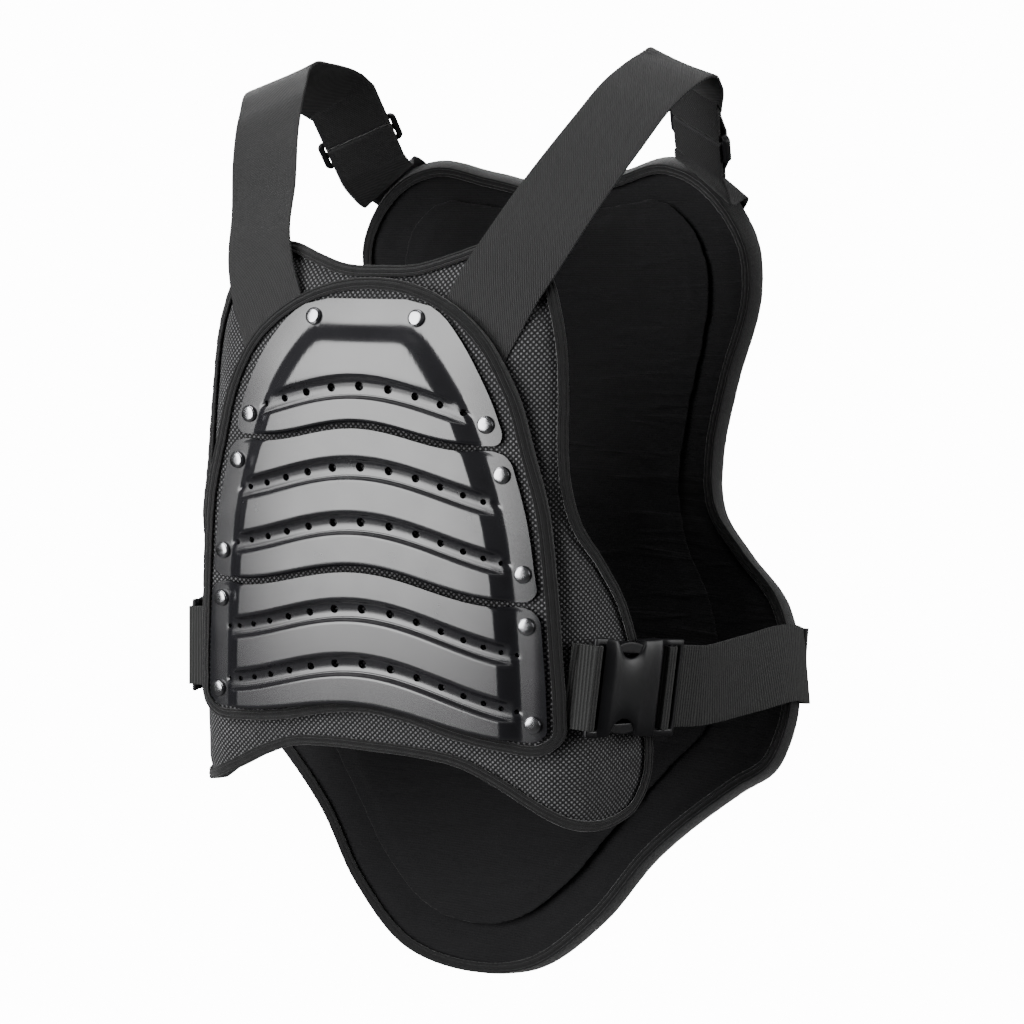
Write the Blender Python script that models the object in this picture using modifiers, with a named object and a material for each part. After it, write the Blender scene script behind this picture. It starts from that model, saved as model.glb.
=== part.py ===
"""Motorcycle body protector vest: padded front and back panels, riveted chest plates, two
shoulder straps with adjusters, and a waist belt with a side release buckle on each side.

Sizes are in metres, X to the right, Y to the back and Z up. The pieces are laid out from the
chest datum, the middle hole of the third row in the chest plates. A parent empty then moves
them, so that the origin is midway between the undersides of the two shoulder straps at their
highest points, where a wearer's shoulders carry the vest.

Each padded piece is cut as a flat pattern, in X and Z with its thickness in Y, and is then
bent to the curve of the chest or of the back."""

import math

import bmesh
import bpy
import numpy as np
from mathutils import Matrix, Vector

GAP = 0.0005                # between two pieces that touch
WELD = 0.00001
OUTLINE_SAG = 0.0013        # how far a straight run may stray from the curved outline
PATH_SAG = 0.0006           # the same for the path of webbing
FINE = 8                    # points on each stretch of a smooth curve

# Webbing and edge tape
WEB_WIDTH = 0.050
WEB_THICK = 0.0015
TAPE_THICK = 0.0012
TAPE_FACE = 0.0065          # how far the tape laps over each face

# Front panel, measured along the cloth from the datum
FRONT_BEHIND = 0.0095       # front face behind the datum
FRONT_THICK = 0.008
FRONT_HALF_WIDTH = 0.191
FRONT_RISE = 0.165
FRONT_DROP = 0.183
CHEST_TURN = 7.6            # degrees that the chest turns back before it bends
WING_TURN = 65.0            # degrees that the side wings are bent back
CHEST_LEAN = 0.026          # how far the top edge leans back
LEAN_FROM = 0.5             # share of FRONT_RISE at which the lean starts

# Chest pad and plates
PAD_THICK = 0.0045
PAD_RISE = 0.141
PAD_DROP = 0.117
PAD_HALF_WIDTH = 0.1235
PLATE_THICK = 0.0023
PLATE_RISE = 0.1285
PLATE_DROP = 0.112
PLATE_MARGIN = 0.0025       # between the plates' sides and the chest pad's tape
PLATE_JOIN = 0.003          # between one plate and the next
PLATE_CORNER = 0.009
FLANGE_WIDTH = 0.014
SHOULDER_WIDTH = 0.011
FIELD_HEIGHT = 0.006        # raised field above the flange
STEP_DEPTH = 0.0042
STEP_RUN = 0.002            # how far down the plate the sharp drop runs
RAMP_ABOVE = 0.0055         # crest of a step above its holes
RAMP_BELOW = 0.007          # end of its ramp below its holes
ROW_SINK = 0.021            # how far a row sinks from the middle to the sides
ROW_REACH = 0.112
HOLE_RADIUS = 0.0028
HOLE_SHRINK = 0.07          # share of the radius lost from each hole to the next
HOLE_PITCH = 0.0188
HOLE_CREEP = 0.0008
RIVET_RADIUS = 0.005
RIVET_HEIGHT = 0.003

# Back panel
BACK_DEPTH = 0.261          # from the front panel's face back to this one's inner face
BACK_THICK = 0.012
BACK_RISE = 0.224
BACK_DROP = 0.330
BACK_HALF_WIDTH = 0.208
BACK_CURL = 0.015           # most that the sides curl forward, at CURL_OUT from the middle
CURL_OUT = 0.100
BACK_PAD_THICK = 0.007
BACK_PAD_RISE = 0.200
BACK_PAD_DROP = 0.300
BACK_PAD_HALF_WIDTH = 0.158
BACK_PAD_ROUND = 0.003

# Shoulder straps: their highest point, and the adjuster behind it
CREST_OUT = 0.142
CREST_BACK = 0.151
CREST_UP = 0.272
STRAP_FOOT = (0.060, 0.098)         # across and up on the front panel, under the chest pad
STRAP_LEAVES = (0.089, 0.157)       # where it leaves the front panel
LYING_SHARE = 0.25                  # how much of the way to its crest it lies flat
ADJUSTER_OUT = 0.1286
ADJUSTER_BACK = 0.2245
ADJUSTER_UP = 0.241
ADJUSTER_AXIS = (-0.11, 0.56, -0.82)
CREST_ACROSS = (0.88, -0.27, -0.36)
ADJUSTER_ACROSS = (0.82, -0.44, -0.40)
STRAP_TAIL = 0.026          # webbing doubled back and sewn down
BACK_STRAP_TAIL = 0.012
BACK_STRAP_LAP = 0.045      # how far the strap runs down the back panel
BACK_STRAP_TURN = 0.125     # share of its free run in which it turns level with the rim
STRAP_CROSSES = 0.95        # where it crosses the rim, as a share of how far out it was

# Bars of the adjusters and buckles
BAR_THICK = 0.003
BAR_WIDTH = 0.0035
SLOT_WIDTH = 0.005
FRAME_SIDE = 0.004

# Belt and buckles
BELT_HEIGHT = -0.108        # middle of the belt behind the buckles
BUCKLE_HEIGHT = -0.0975     # middle of the buckle
BUCKLE_DROP = 8.5           # degrees that the buckle points down, to the back
BUCKLE_FROM = 0.1315        # along the cloth, where the buckle starts
BUCKLE_LIFT = 0.0078        # middle of the buckle above the cloth
SOCKET_LENGTH = 0.0525
SOCKET_WIDTH = 0.059
SOCKET_THICK = 0.0105
BELT_TAIL = 0.020
STUB_HIDDEN = 0.010         # how much of the stub lies under the chest pad
PRONG_LENGTH = 0.032
PRONG_WIDTH = 0.0045
GUIDE_LENGTH = 0.0256
GUIDE_WIDTH = 0.014
WINDOW_RADIUS = 0.010
SOCKET_WALL = 0.002

# Half outlines from the top middle round to the bottom middle. Across is a share of the half
# width, up a share of the rise, and below the datum of the drop.
FRONT_OUTLINE = (
    # across, up
    (0.000, 0.912), (0.125, 0.918), (0.235, 0.955), (0.330, 0.992), (0.420, 1.000),
    (0.510, 0.960), (0.574, 0.866), (0.612, 0.760), (0.640, 0.640), (0.652, 0.480),
    (0.652, 0.300), (0.666, 0.140), (0.700, 0.015), (0.785, -0.110), (0.865, -0.235),
    (0.920, -0.375), (0.965, -0.560), (0.998, -0.740), (0.990, -0.860), (0.925, -0.965),
    (0.820, -1.000), (0.680, -0.985), (0.545, -0.920), (0.420, -0.850), (0.300, -0.800),
    (0.150, -0.782), (0.000, -0.780),
)
PAD_OUTLINE = (
    # across, up
    (0.000, 1.000), (0.210, 0.980), (0.420, 0.912), (0.620, 0.780), (0.765, 0.580),
    (0.860, 0.310), (0.925, 0.090), (0.962, -0.260), (0.985, -0.640), (0.998, -0.900),
    (0.990, -1.055), (0.920, -1.125), (0.720, -1.130), (0.460, -1.090), (0.210, -1.025),
    (0.000, -1.000),
)
BACK_OUTLINE = (
    # across, up
    (0.000, 0.888), (0.235, 0.931), (0.423, 0.967), (0.519, 0.940), (0.655, 0.826),
    (0.719, 0.697), (0.723, 0.600), (0.647, 0.300), (0.623, 0.080), (0.656, -0.045),
    (0.772, -0.125), (0.925, -0.215), (0.995, -0.340), (0.999, -0.455), (0.962, -0.521),
    (0.861, -0.570), (0.603, -0.720), (0.440, -0.860), (0.219, -0.975), (0.000, -1.000),
)
BACK_PAD_OUTLINE = (
    # across, up
    (0.000, 0.935), (0.320, 0.950), (0.545, 0.965), (0.690, 0.875), (0.757, 0.730),
    (0.745, 0.540), (0.690, 0.250), (0.680, 0.000), (0.765, -0.140), (0.905, -0.250),
    (1.000, -0.400), (0.985, -0.510), (0.850, -0.600), (0.625, -0.750), (0.420, -0.890),
    (0.215, -0.975), (0.000, -1.000),
)
PLATE_SIDE = (
    # across, up: the side that the three plates share, from the top edge down
    (0.224, 1.000), (0.310, 0.988), (0.412, 0.938), (0.533, 0.825), (0.633, 0.700),
    (0.712, 0.575), (0.769, 0.448), (0.843, 0.255), (0.904, 0.060), (0.943, -0.190),
    (0.969, -0.450), (0.991, -0.800), (1.000, -1.500),
)
# How the front panel bends at its sides: the height as a share of the rise, where the bend
# starts and how long it is as shares of the half width, and its turn as a share of the wings'.
BENDS = (
    # up, start, arc, turn
    (0.00, 0.565, 0.188, 1.00),
    (0.27, 0.532, 0.188, 0.90),
    (0.60, 0.469, 0.188, 0.72),
    (0.73, 0.461, 0.188, 0.69),
)
# Side view of the back panel: height as a share of the drop, or above the datum of the rise,
# depth as a share of BACK_DEPTH, and how far the sides curl forward, in metres at 0.1 m out.
BACK_PROFILE = (
    # up, depth, curl
    (1.07, 1.000, 1.000), (0.82, 1.075, 0.867), (0.54, 1.115, 0.733), (0.27, 1.080, 0.667),
    (0.00, 1.000, 0.600), (-0.18, 0.895, 0.400), (-0.36, 0.778, 0.200), (-0.52, 0.690, 0.200),
    (-0.67, 0.625, 0.333), (-0.84, 0.560, 0.533), (-1.05, 0.465, 0.667),
)
SOCKET_SECTION = (
    # across as a share of half the width, lift as a share of half the thickness
    (-1.00, -0.80), (1.00, -0.80), (1.00, 0.55), (0.72, 1.00), (-0.72, 1.00), (-1.00, 0.55),
)
PRONG_SHAPE = (
    # toward the tip as a share of PRONG_LENGTH, inward from the socket's wall in PRONG_WIDTHs
    (0.45, 0.0), (0.50, 0.0), (1.00, 1.0), (1.00, 2.0), (0.50, 1.4),
)
# Plate edges and rows of holes, as shares of PLATE_RISE above the datum and of PLATE_DROP below
EDGE_ROWS = (
    # up, sink as a share of ROW_SINK, reach as a share of ROW_REACH
    (0.461, 0.50, 0.62),
    (-0.240, 0.69, 0.80),
    (-1.000, 0.60, 0.86),
)
HOLE_ROWS = (
    # plate, up, holes on each side of the middle one
    (0, 0.630, 4), (1, 0.257, 5), (1, 0.000, 6), (2, -0.470, 7), (2, -0.770, 7),
)
RIVETS = (
    # across as a share of PLATE_HALF_WIDTH, up as a share of PLATE_RISE
    (0.297, 0.922), (0.690, 0.474), (0.775, 0.250), (0.886, -0.195), (0.906, -0.432),
    (0.940, -0.885),
)
# The shoulder strap between the front panel and its crest, then down to the adjuster, as
# shares of the way from one to the other
STRAP_CLIMB = (
    # out, back, up
    (0.234, 0.218, 0.282), (0.545, 0.472, 0.600), (0.770, 0.705, 0.840),
)
STRAP_FALL = (
    # out, back, down
    (0.20, 0.37, 0.15), (0.56, 0.71, 0.50),
)
# Where the padded pieces are creased, as shares of the half widths and of the rises and drops
FOLD_COLUMNS = (0.0, 0.25, 0.461, 0.535, 0.608, 0.680, 0.753, 1.2)
FOLD_ROWS = (-1.2, 0.00, 0.36, 0.87, 1.1)
BACK_COLUMNS = (0.0, 0.25, 0.50, 0.75, 1.1)
BACK_ROWS = (1.1, 0.78, 0.50, 0.20, -0.10, -0.35, -0.60, -0.83, -1.1)


# Curves and surfaces

def smooth(points, fine=FINE):
    """A dense polyline on the smooth curve through the given points."""
    points = np.asarray(points, float)
    steps = np.diff(points, axis=0)
    lengths = np.linalg.norm(steps, axis=1)[:, None]
    rates = steps / lengths
    slopes = np.vstack([rates[:1], points[1:-1], rates[-1:]])
    slopes[1:-1] = rates[:-1] * lengths[1:] + rates[1:] * lengths[:-1]
    slopes[1:-1] /= lengths[:-1] + lengths[1:]
    share = (np.arange(fine) / fine)[:, None]
    rest = 1 - share
    dense = []
    for index, length in enumerate(lengths):
        dense.append(points[index] * (1 + 2 * share) * rest**2
                     + slopes[index] * length * share * rest**2
                     + points[index + 1] * (3 - 2 * share) * share**2
                     - slopes[index + 1] * length * rest * share**2)
    dense.append(points[-1:])
    return np.vstack(dense)


def scaled(table, half_width, rise, drop):
    """A table's shares as lengths: across, and up or down from the datum."""
    return [(across * half_width, up * (rise if up > 0 else drop)) for across, up in table]


def thinned(points, sag):
    """A polyline without the points that lie within a sag of the line through the others."""
    chord = points[-1] - points[0]
    chord = chord / np.linalg.norm(chord)
    away = points - points[0]
    off = np.linalg.norm(away - np.outer(away @ chord, chord), axis=1)
    worst = int(np.argmax(off))
    if off[worst] < sag:
        return points[[0, -1]]
    return np.vstack([thinned(points[:worst + 1], sag)[:-1], thinned(points[worst:], sag)])


def shares_along(points):
    """How far along a polyline each of its points lies, from 0 to 1."""
    steps = np.linalg.norm(np.diff(points, axis=0), axis=1)
    run = np.concatenate(([0.0], np.cumsum(steps)))
    return run / run[-1]


def closed_outline(table, half_width, rise, drop):
    """The whole outline, from the top middle clockwise."""
    half = scaled(table, half_width, rise, drop)
    around = [(-half[1][0], half[1][1])] + half + [(-half[-2][0], half[-2][1])]
    half = thinned(smooth(around)[FINE:-FINE], OUTLINE_SAG)
    half[0][0] = half[-1][0] = 0.0
    mirrored = half[1:-1][::-1] * (-1.0, 1.0)
    return np.vstack([half, mirrored])


def inset(outline, distance):
    """A closed outline moved inward by a distance."""
    ahead = np.roll(outline, -1, axis=0) - outline
    ahead /= np.linalg.norm(ahead, axis=1)[:, None]
    behind = np.roll(ahead, 1, axis=0)
    inward = np.stack([ahead[:, 1] + behind[:, 1], -ahead[:, 0] - behind[:, 0]], axis=1)
    shared = 1.0 + (ahead * behind).sum(axis=1)
    return outline + distance * inward / shared[:, None]


def front_face(across, up):
    """A point on the smooth curve of the front panel's front face."""
    share = up / FRONT_RISE
    heights, starts, arcs, turns = zip(*BENDS)
    start = np.interp(share, heights, starts) * FRONT_HALF_WIDTH
    arc = np.interp(share, heights, arcs) * FRONT_HALF_WIDTH
    turn = math.radians(np.interp(share, heights, turns) * WING_TURN)
    chest = math.radians(CHEST_TURN)
    side = abs(across)
    angle = chest * min(side, start) / start
    out = start / chest * math.sin(angle)
    back = start / chest * (1 - math.cos(angle))
    if side > start:
        angle = chest + (turn - chest) * min(side - start, arc) / arc
        radius = arc / (turn - chest)
        out += radius * (math.sin(angle) - math.sin(chest))
        back += radius * (math.cos(chest) - math.cos(angle))
    if side > start + arc:
        out += (side - start - arc) * math.cos(turn)
        back += (side - start - arc) * math.sin(turn)
    lean = max(0.0, share - LEAN_FROM) / (1 - LEAN_FROM)
    back += FRONT_BEHIND + CHEST_LEAN * lean**2
    return Vector((math.copysign(out, across), back, up))


def back_face(across, up):
    """A point on the smooth curve of the back panel's inner face."""
    share = up / (BACK_RISE if up > 0 else BACK_DROP)
    back = FRONT_BEHIND + np.interp(share, PROFILE_UP, PROFILE_DEPTH) * BACK_DEPTH
    curl = np.interp(share, PROFILE_UP, PROFILE_CURL) * BACK_CURL
    return Vector((across, back - curl * (across / CURL_OUT)**2, up))


def faceted(face, columns, rows):
    """A face made of flat facets between its creases, as a function that places a point at
    a depth in front of it."""
    outs = sorted({-side for side in columns} | set(columns))
    step = 0.0005

    def node(across, up):
        along = face(across + step, up) - face(across - step, up)
        rising = face(across, up + step) - face(across, up - step)
        return face(across, up), along.cross(rising).normalized()

    nodes = [[node(across, up) for across in outs] for up in rows]

    def place(across, up, depth):
        column = min(max(int(np.searchsorted(outs, across)) - 1, 0), len(outs) - 2)
        row = min(max(int(np.searchsorted(rows, up)) - 1, 0), len(rows) - 2)
        side = (across - outs[column]) / (outs[column + 1] - outs[column])
        rise = (up - rows[row]) / (rows[row + 1] - rows[row])
        (low_left, low_right), (high_left, high_right) = [
            [point + normal * depth for point, normal in nodes[line][column:column + 2]]
            for line in (row, row + 1)]
        return low_left.lerp(low_right, side).lerp(high_left.lerp(high_right, side), rise)

    return place


PROFILE_UP, PROFILE_DEPTH, PROFILE_CURL = smooth(BACK_PROFILE)[::-1].T
# The upper plate's level rows are folds too, so that it lies flat on the leaning cloth.
ARCH_FOLDS = [PLATE_RISE - FLANGE_WIDTH - SHOULDER_WIDTH, PLATE_RISE - FLANGE_WIDTH / 2]
FRONT_FOLDS = ([share * FRONT_HALF_WIDTH for share in FOLD_COLUMNS],
               sorted([share * FRONT_RISE for share in FOLD_ROWS] + ARCH_FOLDS))
BACK_FOLDS = ([share * BACK_HALF_WIDTH for share in BACK_COLUMNS],
              sorted(share * (BACK_RISE if share > 0 else BACK_DROP) for share in BACK_ROWS))
front_place = faceted(front_face, *FRONT_FOLDS)
back_place = faceted(back_face, *BACK_FOLDS)


def half_width_at(outline, up):
    """How far out a closed outline reaches at a height."""
    right = outline[outline[:, 0] >= 0]
    best = 0.0
    for low, high in zip(right, right[1:]):
        if min(low[1], high[1]) <= up <= max(low[1], high[1]) and low[1] != high[1]:
            share = (up - low[1]) / (high[1] - low[1])
            best = max(best, low[0] + share * (high[0] - low[0]))
    return best


def top_at(outline, across):
    """How high a closed outline reaches at a distance from the middle."""
    right = outline[(outline[:, 0] >= 0) & (outline[:, 1] > 0)]
    return float(np.interp(across, right[:, 0][:np.argmax(right[:, 0]) + 1],
                           right[:, 1][:np.argmax(right[:, 0]) + 1]))


# Meshes and objects

def principled(name, colour, roughness, metallic=0.0):
    material = bpy.data.materials.new(name)
    material.use_nodes = True
    material.diffuse_color = (*colour, 1.0)
    shader = material.node_tree.nodes["Principled BSDF"]
    shader.inputs["Base Color"].default_value = (*colour, 1.0)
    shader.inputs["Roughness"].default_value = roughness
    shader.inputs["Metallic"].default_value = metallic
    return material


def new_object(name, mesh, material, group="pieces"):
    obj = bpy.data.objects.new(name, mesh)
    if material:
        mesh.materials.clear()
        mesh.materials.append(material)
    COLLECTIONS[group].objects.link(obj)
    obj.parent = CARRIER
    if group == "cutters":
        obj.hide_render = True
        obj.display_type = "WIRE"
    return obj


def finished(bm, name):
    """The bmesh as a mesh, with its faces turned outward."""
    bmesh.ops.recalc_face_normals(bm, faces=bm.faces[:])
    if bm.calc_volume(signed=True) < 0:
        bmesh.ops.reverse_faces(bm, faces=bm.faces[:])
    mesh = bpy.data.meshes.new(name)
    bm.to_mesh(mesh)
    bm.free()
    return mesh


def mirror_copy(obj, name):
    """The left copy of a piece on the right."""
    bm = bmesh.new()
    bm.from_mesh(obj.data)
    bm.transform(obj.matrix_basis)
    bmesh.ops.scale(bm, vec=(-1, 1, 1), verts=bm.verts[:])
    copy = new_object(name, finished(bm, name), obj.data.materials[0])
    for modifier in obj.modifiers:
        twin = copy.modifiers.new(modifier.name, modifier.type)
        twin.object = modifier.object
        twin.operation = modifier.operation
    return copy


def loft(bm, sections, joined=False):
    """Skin closed sections in order, and cap the ends unless they are joined in a ring."""
    rings = [[bm.verts.new(point) for point in section] for section in sections]
    pairs = list(zip(rings, rings[1:]))
    if joined:
        pairs.append((rings[-1], rings[0]))
    for ring, following in pairs:
        for index in range(len(ring)):
            beside = (index + 1) % len(ring)
            bm.faces.new((ring[index], ring[beside], following[beside], following[index]))
    if not joined:
        bm.faces.new(rings[0])
        bm.faces.new(rings[-1])


def bend(bm, place, columns, rows):
    """Crease a flat pattern at each column and row, and bend it to its surface."""
    lines = [(0, value) for side in columns for value in {side, -side}]
    lines += [(2, value) for value in rows]
    for axis, value in lines:
        point, normal = Vector(), Vector()
        point[axis] = value
        normal[axis] = 1.0
        everything = bm.verts[:] + bm.edges[:] + bm.faces[:]
        bmesh.ops.bisect_plane(bm, geom=everything, dist=1e-6, plane_co=point,
                               plane_no=normal)
    for vert in bm.verts:
        vert.co = place(vert.co.x, vert.co.z, -vert.co.y)


def padded_piece(name, outline, back, front, place, lines, material, rounding=0.0,
                 group="pieces"):
    """A flat pattern of an outline, from depth back to depth front, bent to a surface."""
    bm = bmesh.new()
    layers = [[(x, -depth, z) for x, z in outline] for depth in (back, front)]
    loft(bm, layers)
    if rounding:
        rim = [edge for edge in bm.edges
               if all(abs(vert.co.y + front) < 1e-7 for vert in edge.verts)]
        bmesh.ops.bevel(bm, geom=rim, offset=rounding, segments=2, profile=0.5,
                        affect="EDGES")
    bend(bm, place, *lines)
    return new_object(name, finished(bm, name), material, group)


def edge_tape(name, outline, back, front, place, lines, material):
    """Tape folded round the edge of a padded piece that lies between two depths."""
    over, under = front + GAP, back - GAP
    profile = ((TAPE_FACE, over + TAPE_THICK), (0.0, over + TAPE_THICK),
               (0.0, under - TAPE_THICK), (TAPE_FACE, under - TAPE_THICK),
               (TAPE_FACE, under), (TAPE_THICK, under), (TAPE_THICK, over),
               (TAPE_FACE, over))
    loops = [(inset(outline, inward), depth) for inward, depth in profile]
    sections = [[(loop[index][0], -depth, loop[index][1]) for loop, depth in loops]
                for index in range(len(outline))]
    bm = bmesh.new()
    loft(bm, sections, joined=True)
    bend(bm, place, *lines)
    return new_object(name, finished(bm, name), material)


def ribbon(name, path, across, width, thick, material):
    """Flat webbing along a path, across holding a direction for each of its points."""
    path = [Vector(point) for point in path]
    sections = []
    for index, point in enumerate(path):
        ahead = path[min(index + 1, len(path) - 1)] - path[max(index - 1, 0)]
        ahead.normalize()
        side = Vector(across[index])
        side = (side - side.dot(ahead) * ahead).normalized()
        lift = ahead.cross(side) * thick / 2
        side *= width / 2
        sections.append((point + side + lift, point - side + lift, point - side - lift,
                         point + side - lift))
    bm = bmesh.new()
    loft(bm, sections)
    bmesh.ops.triangulate(bm, faces=bm.faces[:])
    return new_object(name, finished(bm, name), material)


def round_bar(middle, side, over):
    """The side view of webbing round a bar: side is 1 or -1 for the side that it passes on
    (further along or not), over is 1 when it comes from the outer face, else -1."""
    around = []
    for face, angles in ((over, (90.0, 45.0, 0.0)), (-over, (0.0, -45.0, -90.0))):
        corner = (middle[0] + side * BAR_WIDTH / 2, middle[1] + face * BAR_THICK / 2)
        for angle in np.radians(angles):
            around.append((corner[0] + side * WEB_OFF * math.cos(angle),
                           corner[1] + over * WEB_OFF * math.sin(angle)))
    return around


# Padded pieces

def make_front():
    outline = closed_outline(FRONT_OUTLINE, FRONT_HALF_WIDTH, FRONT_RISE, FRONT_DROP)
    edge = inset(outline, TAPE_THICK + GAP)
    padded_piece("front_panel", edge, -FRONT_THICK, 0.0, front_place, FRONT_FOLDS,
                 MATERIALS["mesh_cloth"])
    edge_tape("front_binding", outline, -FRONT_THICK - GAP, GAP, front_place, FRONT_FOLDS,
              MATERIALS["tape"])


def make_chest_pad():
    outline = pad_outline()
    padded_piece("chest_pad", inset(outline, TAPE_THICK + GAP), PAD_BACK, PAD_FRONT,
                 front_place, FRONT_FOLDS, MATERIALS["mesh_cloth"])
    edge_tape("chest_binding", outline, PAD_BACK, PAD_FRONT, front_place, FRONT_FOLDS,
              MATERIALS["tape"])
    return padded_piece("chest_pad_room", inset(outline, -GAP), -FRONT_THICK / 2,
                        PAD_FRONT + FRONT_THICK, front_place, FRONT_FOLDS, None,
                        group="cutters")


def pad_outline():
    return closed_outline(PAD_OUTLINE, PAD_HALF_WIDTH, PAD_RISE, PAD_DROP)


def back_outline():
    return closed_outline(BACK_OUTLINE, BACK_HALF_WIDTH, BACK_RISE, BACK_DROP)


def make_back():
    outline = back_outline()
    edge = inset(outline, TAPE_THICK + GAP)
    padded_piece("back_panel", edge, -BACK_THICK, 0.0, back_place, BACK_FOLDS,
                 MATERIALS["brushed_cloth"])
    edge_tape("back_binding", outline, -BACK_THICK - 2 * GAP, 2 * GAP, back_place, BACK_FOLDS,
              MATERIALS["tape"])
    pad = closed_outline(BACK_PAD_OUTLINE, BACK_PAD_HALF_WIDTH, BACK_PAD_RISE,
                         BACK_PAD_DROP)
    padded_piece("back_pad", pad, 4 * GAP, 4 * GAP + BACK_PAD_THICK, back_place, BACK_FOLDS,
                 MATERIALS["brushed_cloth"], BACK_PAD_ROUND)


# Chest plates

def row_line(up, sink, reach):
    """A row's height as a function of the distance from the middle."""
    def height(across):
        share = min(abs(across) / (reach * ROW_REACH), 1.0)
        return up - sink * ROW_SINK * (1 - math.cos(math.pi * share)) / 2
    return height


def between(upper, lower, share):
    return lambda across: upper(across) * (1 - share) + lower(across) * share


def plate_height(share):
    return share * (PLATE_RISE if share > 0 else PLATE_DROP)


def plate_side():
    """The plates' shared side as a closed outline, for its widths and its insets."""
    half = smooth(scaled(PLATE_SIDE, PLATE_HALF_WIDTH, PLATE_RISE, PLATE_DROP), 4)
    return np.vstack([half, half[::-1] * (-1.0, 1.0)])


def plate_rows(number):
    """The plate's lines from its top edge down, each with its share of the step's depth."""
    edges = [row_line(plate_height(up), sink, reach) for up, sink, reach in EDGE_ROWS]
    bottom = edges[number]
    rows = []
    if number == 0:
        arch = (PLATE_RISE, PLATE_RISE - FLANGE_WIDTH / 2, PLATE_RISE - FLANGE_WIDTH,
                PLATE_RISE - FLANGE_WIDTH - SHOULDER_WIDTH / 2,
                PLATE_RISE - FLANGE_WIDTH - SHOULDER_WIDTH)
        rows += [(row_line(up, 0.0, 1.0), 0.0) for up in arch]
    else:
        above = edges[number - 1]
        rows.append((lambda across: above(across) - PLATE_JOIN, 0.0))
    for plate, share, _ in HOLE_ROWS:
        if plate != number:
            continue
        up = plate_height(share)
        crest = row_line(up + RAMP_ABOVE, 1.0, 1.0)
        rows.append((between(rows[-1][0], crest, 0.45), 0.0))
        rows.append((crest, 0.0))
        rows.append((row_line(up + RAMP_ABOVE - STEP_RUN, 1.0, 1.0), 1.0))
        rows.append((row_line(up - RAMP_BELOW, 1.0, 1.0), 0.0))
    rows.append((between(rows[-1][0], bottom, 0.55), 0.0))
    rows.append((bottom, 0.0))
    return rows


def rounded_in(distance):
    """How far a plate's corner is cut back at a distance from its end."""
    left = PLATE_CORNER - min(distance, PLATE_CORNER)
    return PLATE_CORNER - math.sqrt(PLATE_CORNER**2 - left**2)


def make_plate(number, name):
    outer_side = plate_side()
    flange_side = inset(outer_side, FLANGE_WIDTH)
    field_side = inset(outer_side, FLANGE_WIDTH + SHOULDER_WIDTH)
    rows = plate_rows(number)
    top, bottom = rows[0][0], rows[-1][0]
    base = PAD_FRONT + GAP
    field_shares = (0.0, 0.25, 0.5, 0.75, 1.0)
    arch_rows = 3 if number == 0 else 0
    upper, lower = [], []
    for index, (line, depth_share) in enumerate(rows):
        side_up = line(PLATE_HALF_WIDTH * 0.8)
        side = half_width_at(outer_side, min(side_up, PLATE_RISE * 0.999))
        side -= rounded_in(side_up - bottom(PLATE_HALF_WIDTH * 0.8))
        if number:
            side -= rounded_in(top(PLATE_HALF_WIDTH * 0.8) - side_up)
        flange = min(half_width_at(flange_side, side_up), side - FLANGE_WIDTH * 0.6)
        field = min(half_width_at(field_side, side_up), flange - SHOULDER_WIDTH * 0.6)
        rise = FIELD_HEIGHT
        if index < arch_rows:
            flange, field, rise = side * 0.62, side * 0.35, 0.0
        elif number == 0 and index == arch_rows:
            field, rise = flange * 0.5, FIELD_HEIGHT / 2
        spots = [(share * field, rise) for share in field_shares]
        for last, (across, height) in enumerate(spots[:-1]):
            spots[last] = (across, height - depth_share * STEP_DEPTH)
        spots += [(flange, 0.0), (side, 0.0)]
        for sheet, thickness in ((upper, PLATE_THICK), (lower, 0.0)):
            sheet.append([front_place(across, line(across), base + height + thickness)
                          for across, height in spots])
    obj = half_shell(name, upper, lower, MATERIALS["plate_plastic"])
    cutter = hole_cutter(number, name, base)
    holes = obj.modifiers.new("holes", "BOOLEAN")
    holes.object = cutter
    holes.operation = "DIFFERENCE"
    return obj


def half_shell(name, upper, lower, material):
    """A thin wall between two grids of points, open at the middle, where Mirror joins it."""
    bm = bmesh.new()
    grids = [[[bm.verts.new(point) for point in row] for row in sheet]
             for sheet in (upper, lower)]
    for grid in grids:
        for row, following in zip(grid, grid[1:]):
            for index in range(len(row) - 1):
                bm.faces.new((row[index], row[index + 1], following[index + 1],
                              following[index]))
    outside, inside = grids
    rims = [(outside[0], inside[0]), (outside[-1], inside[-1]),
            ([row[-1] for row in outside], [row[-1] for row in inside])]
    for high, low in rims:
        for index in range(len(high) - 1):
            bm.faces.new((high[index], high[index + 1], low[index + 1], low[index]))
    for vert in bm.verts:
        if abs(vert.co.x) < WELD:
            vert.co.x = 0.0
    obj = new_object(name, finished(bm, name), material)
    mirror = obj.modifiers.new("both_sides", "MIRROR")
    mirror.merge_threshold = WELD
    return obj


def hole_cutter(number, name, base):
    """Round cutters along each row of the plate's holes, smaller toward the sides."""
    bm = bmesh.new()
    for plate, share, count in HOLE_ROWS:
        if plate != number:
            continue
        line = row_line(plate_height(share), 1.0, 1.0)
        for place in range(-count, count + 1):
            step = abs(place)
            across = HOLE_PITCH * step - HOLE_CREEP * step * (step - 1)
            across = math.copysign(across, place)
            radius = HOLE_RADIUS * (1 - HOLE_SHRINK * step)
            low = front_place(across, line(across), base - FIELD_HEIGHT)
            high = front_place(across, line(across), base + FIELD_HEIGHT * 2)
            turn = (high - low).to_track_quat("Z", "X").to_matrix().to_4x4()
            bmesh.ops.create_cone(bm, cap_ends=True, segments=6, radius1=radius,
                                  radius2=radius, depth=(high - low).length,
                                  matrix=Matrix.Translation((low + high) / 2) @ turn)
    return new_object(name + "_holes", finished(bm, name + "_holes"), None, "cutters")


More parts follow.
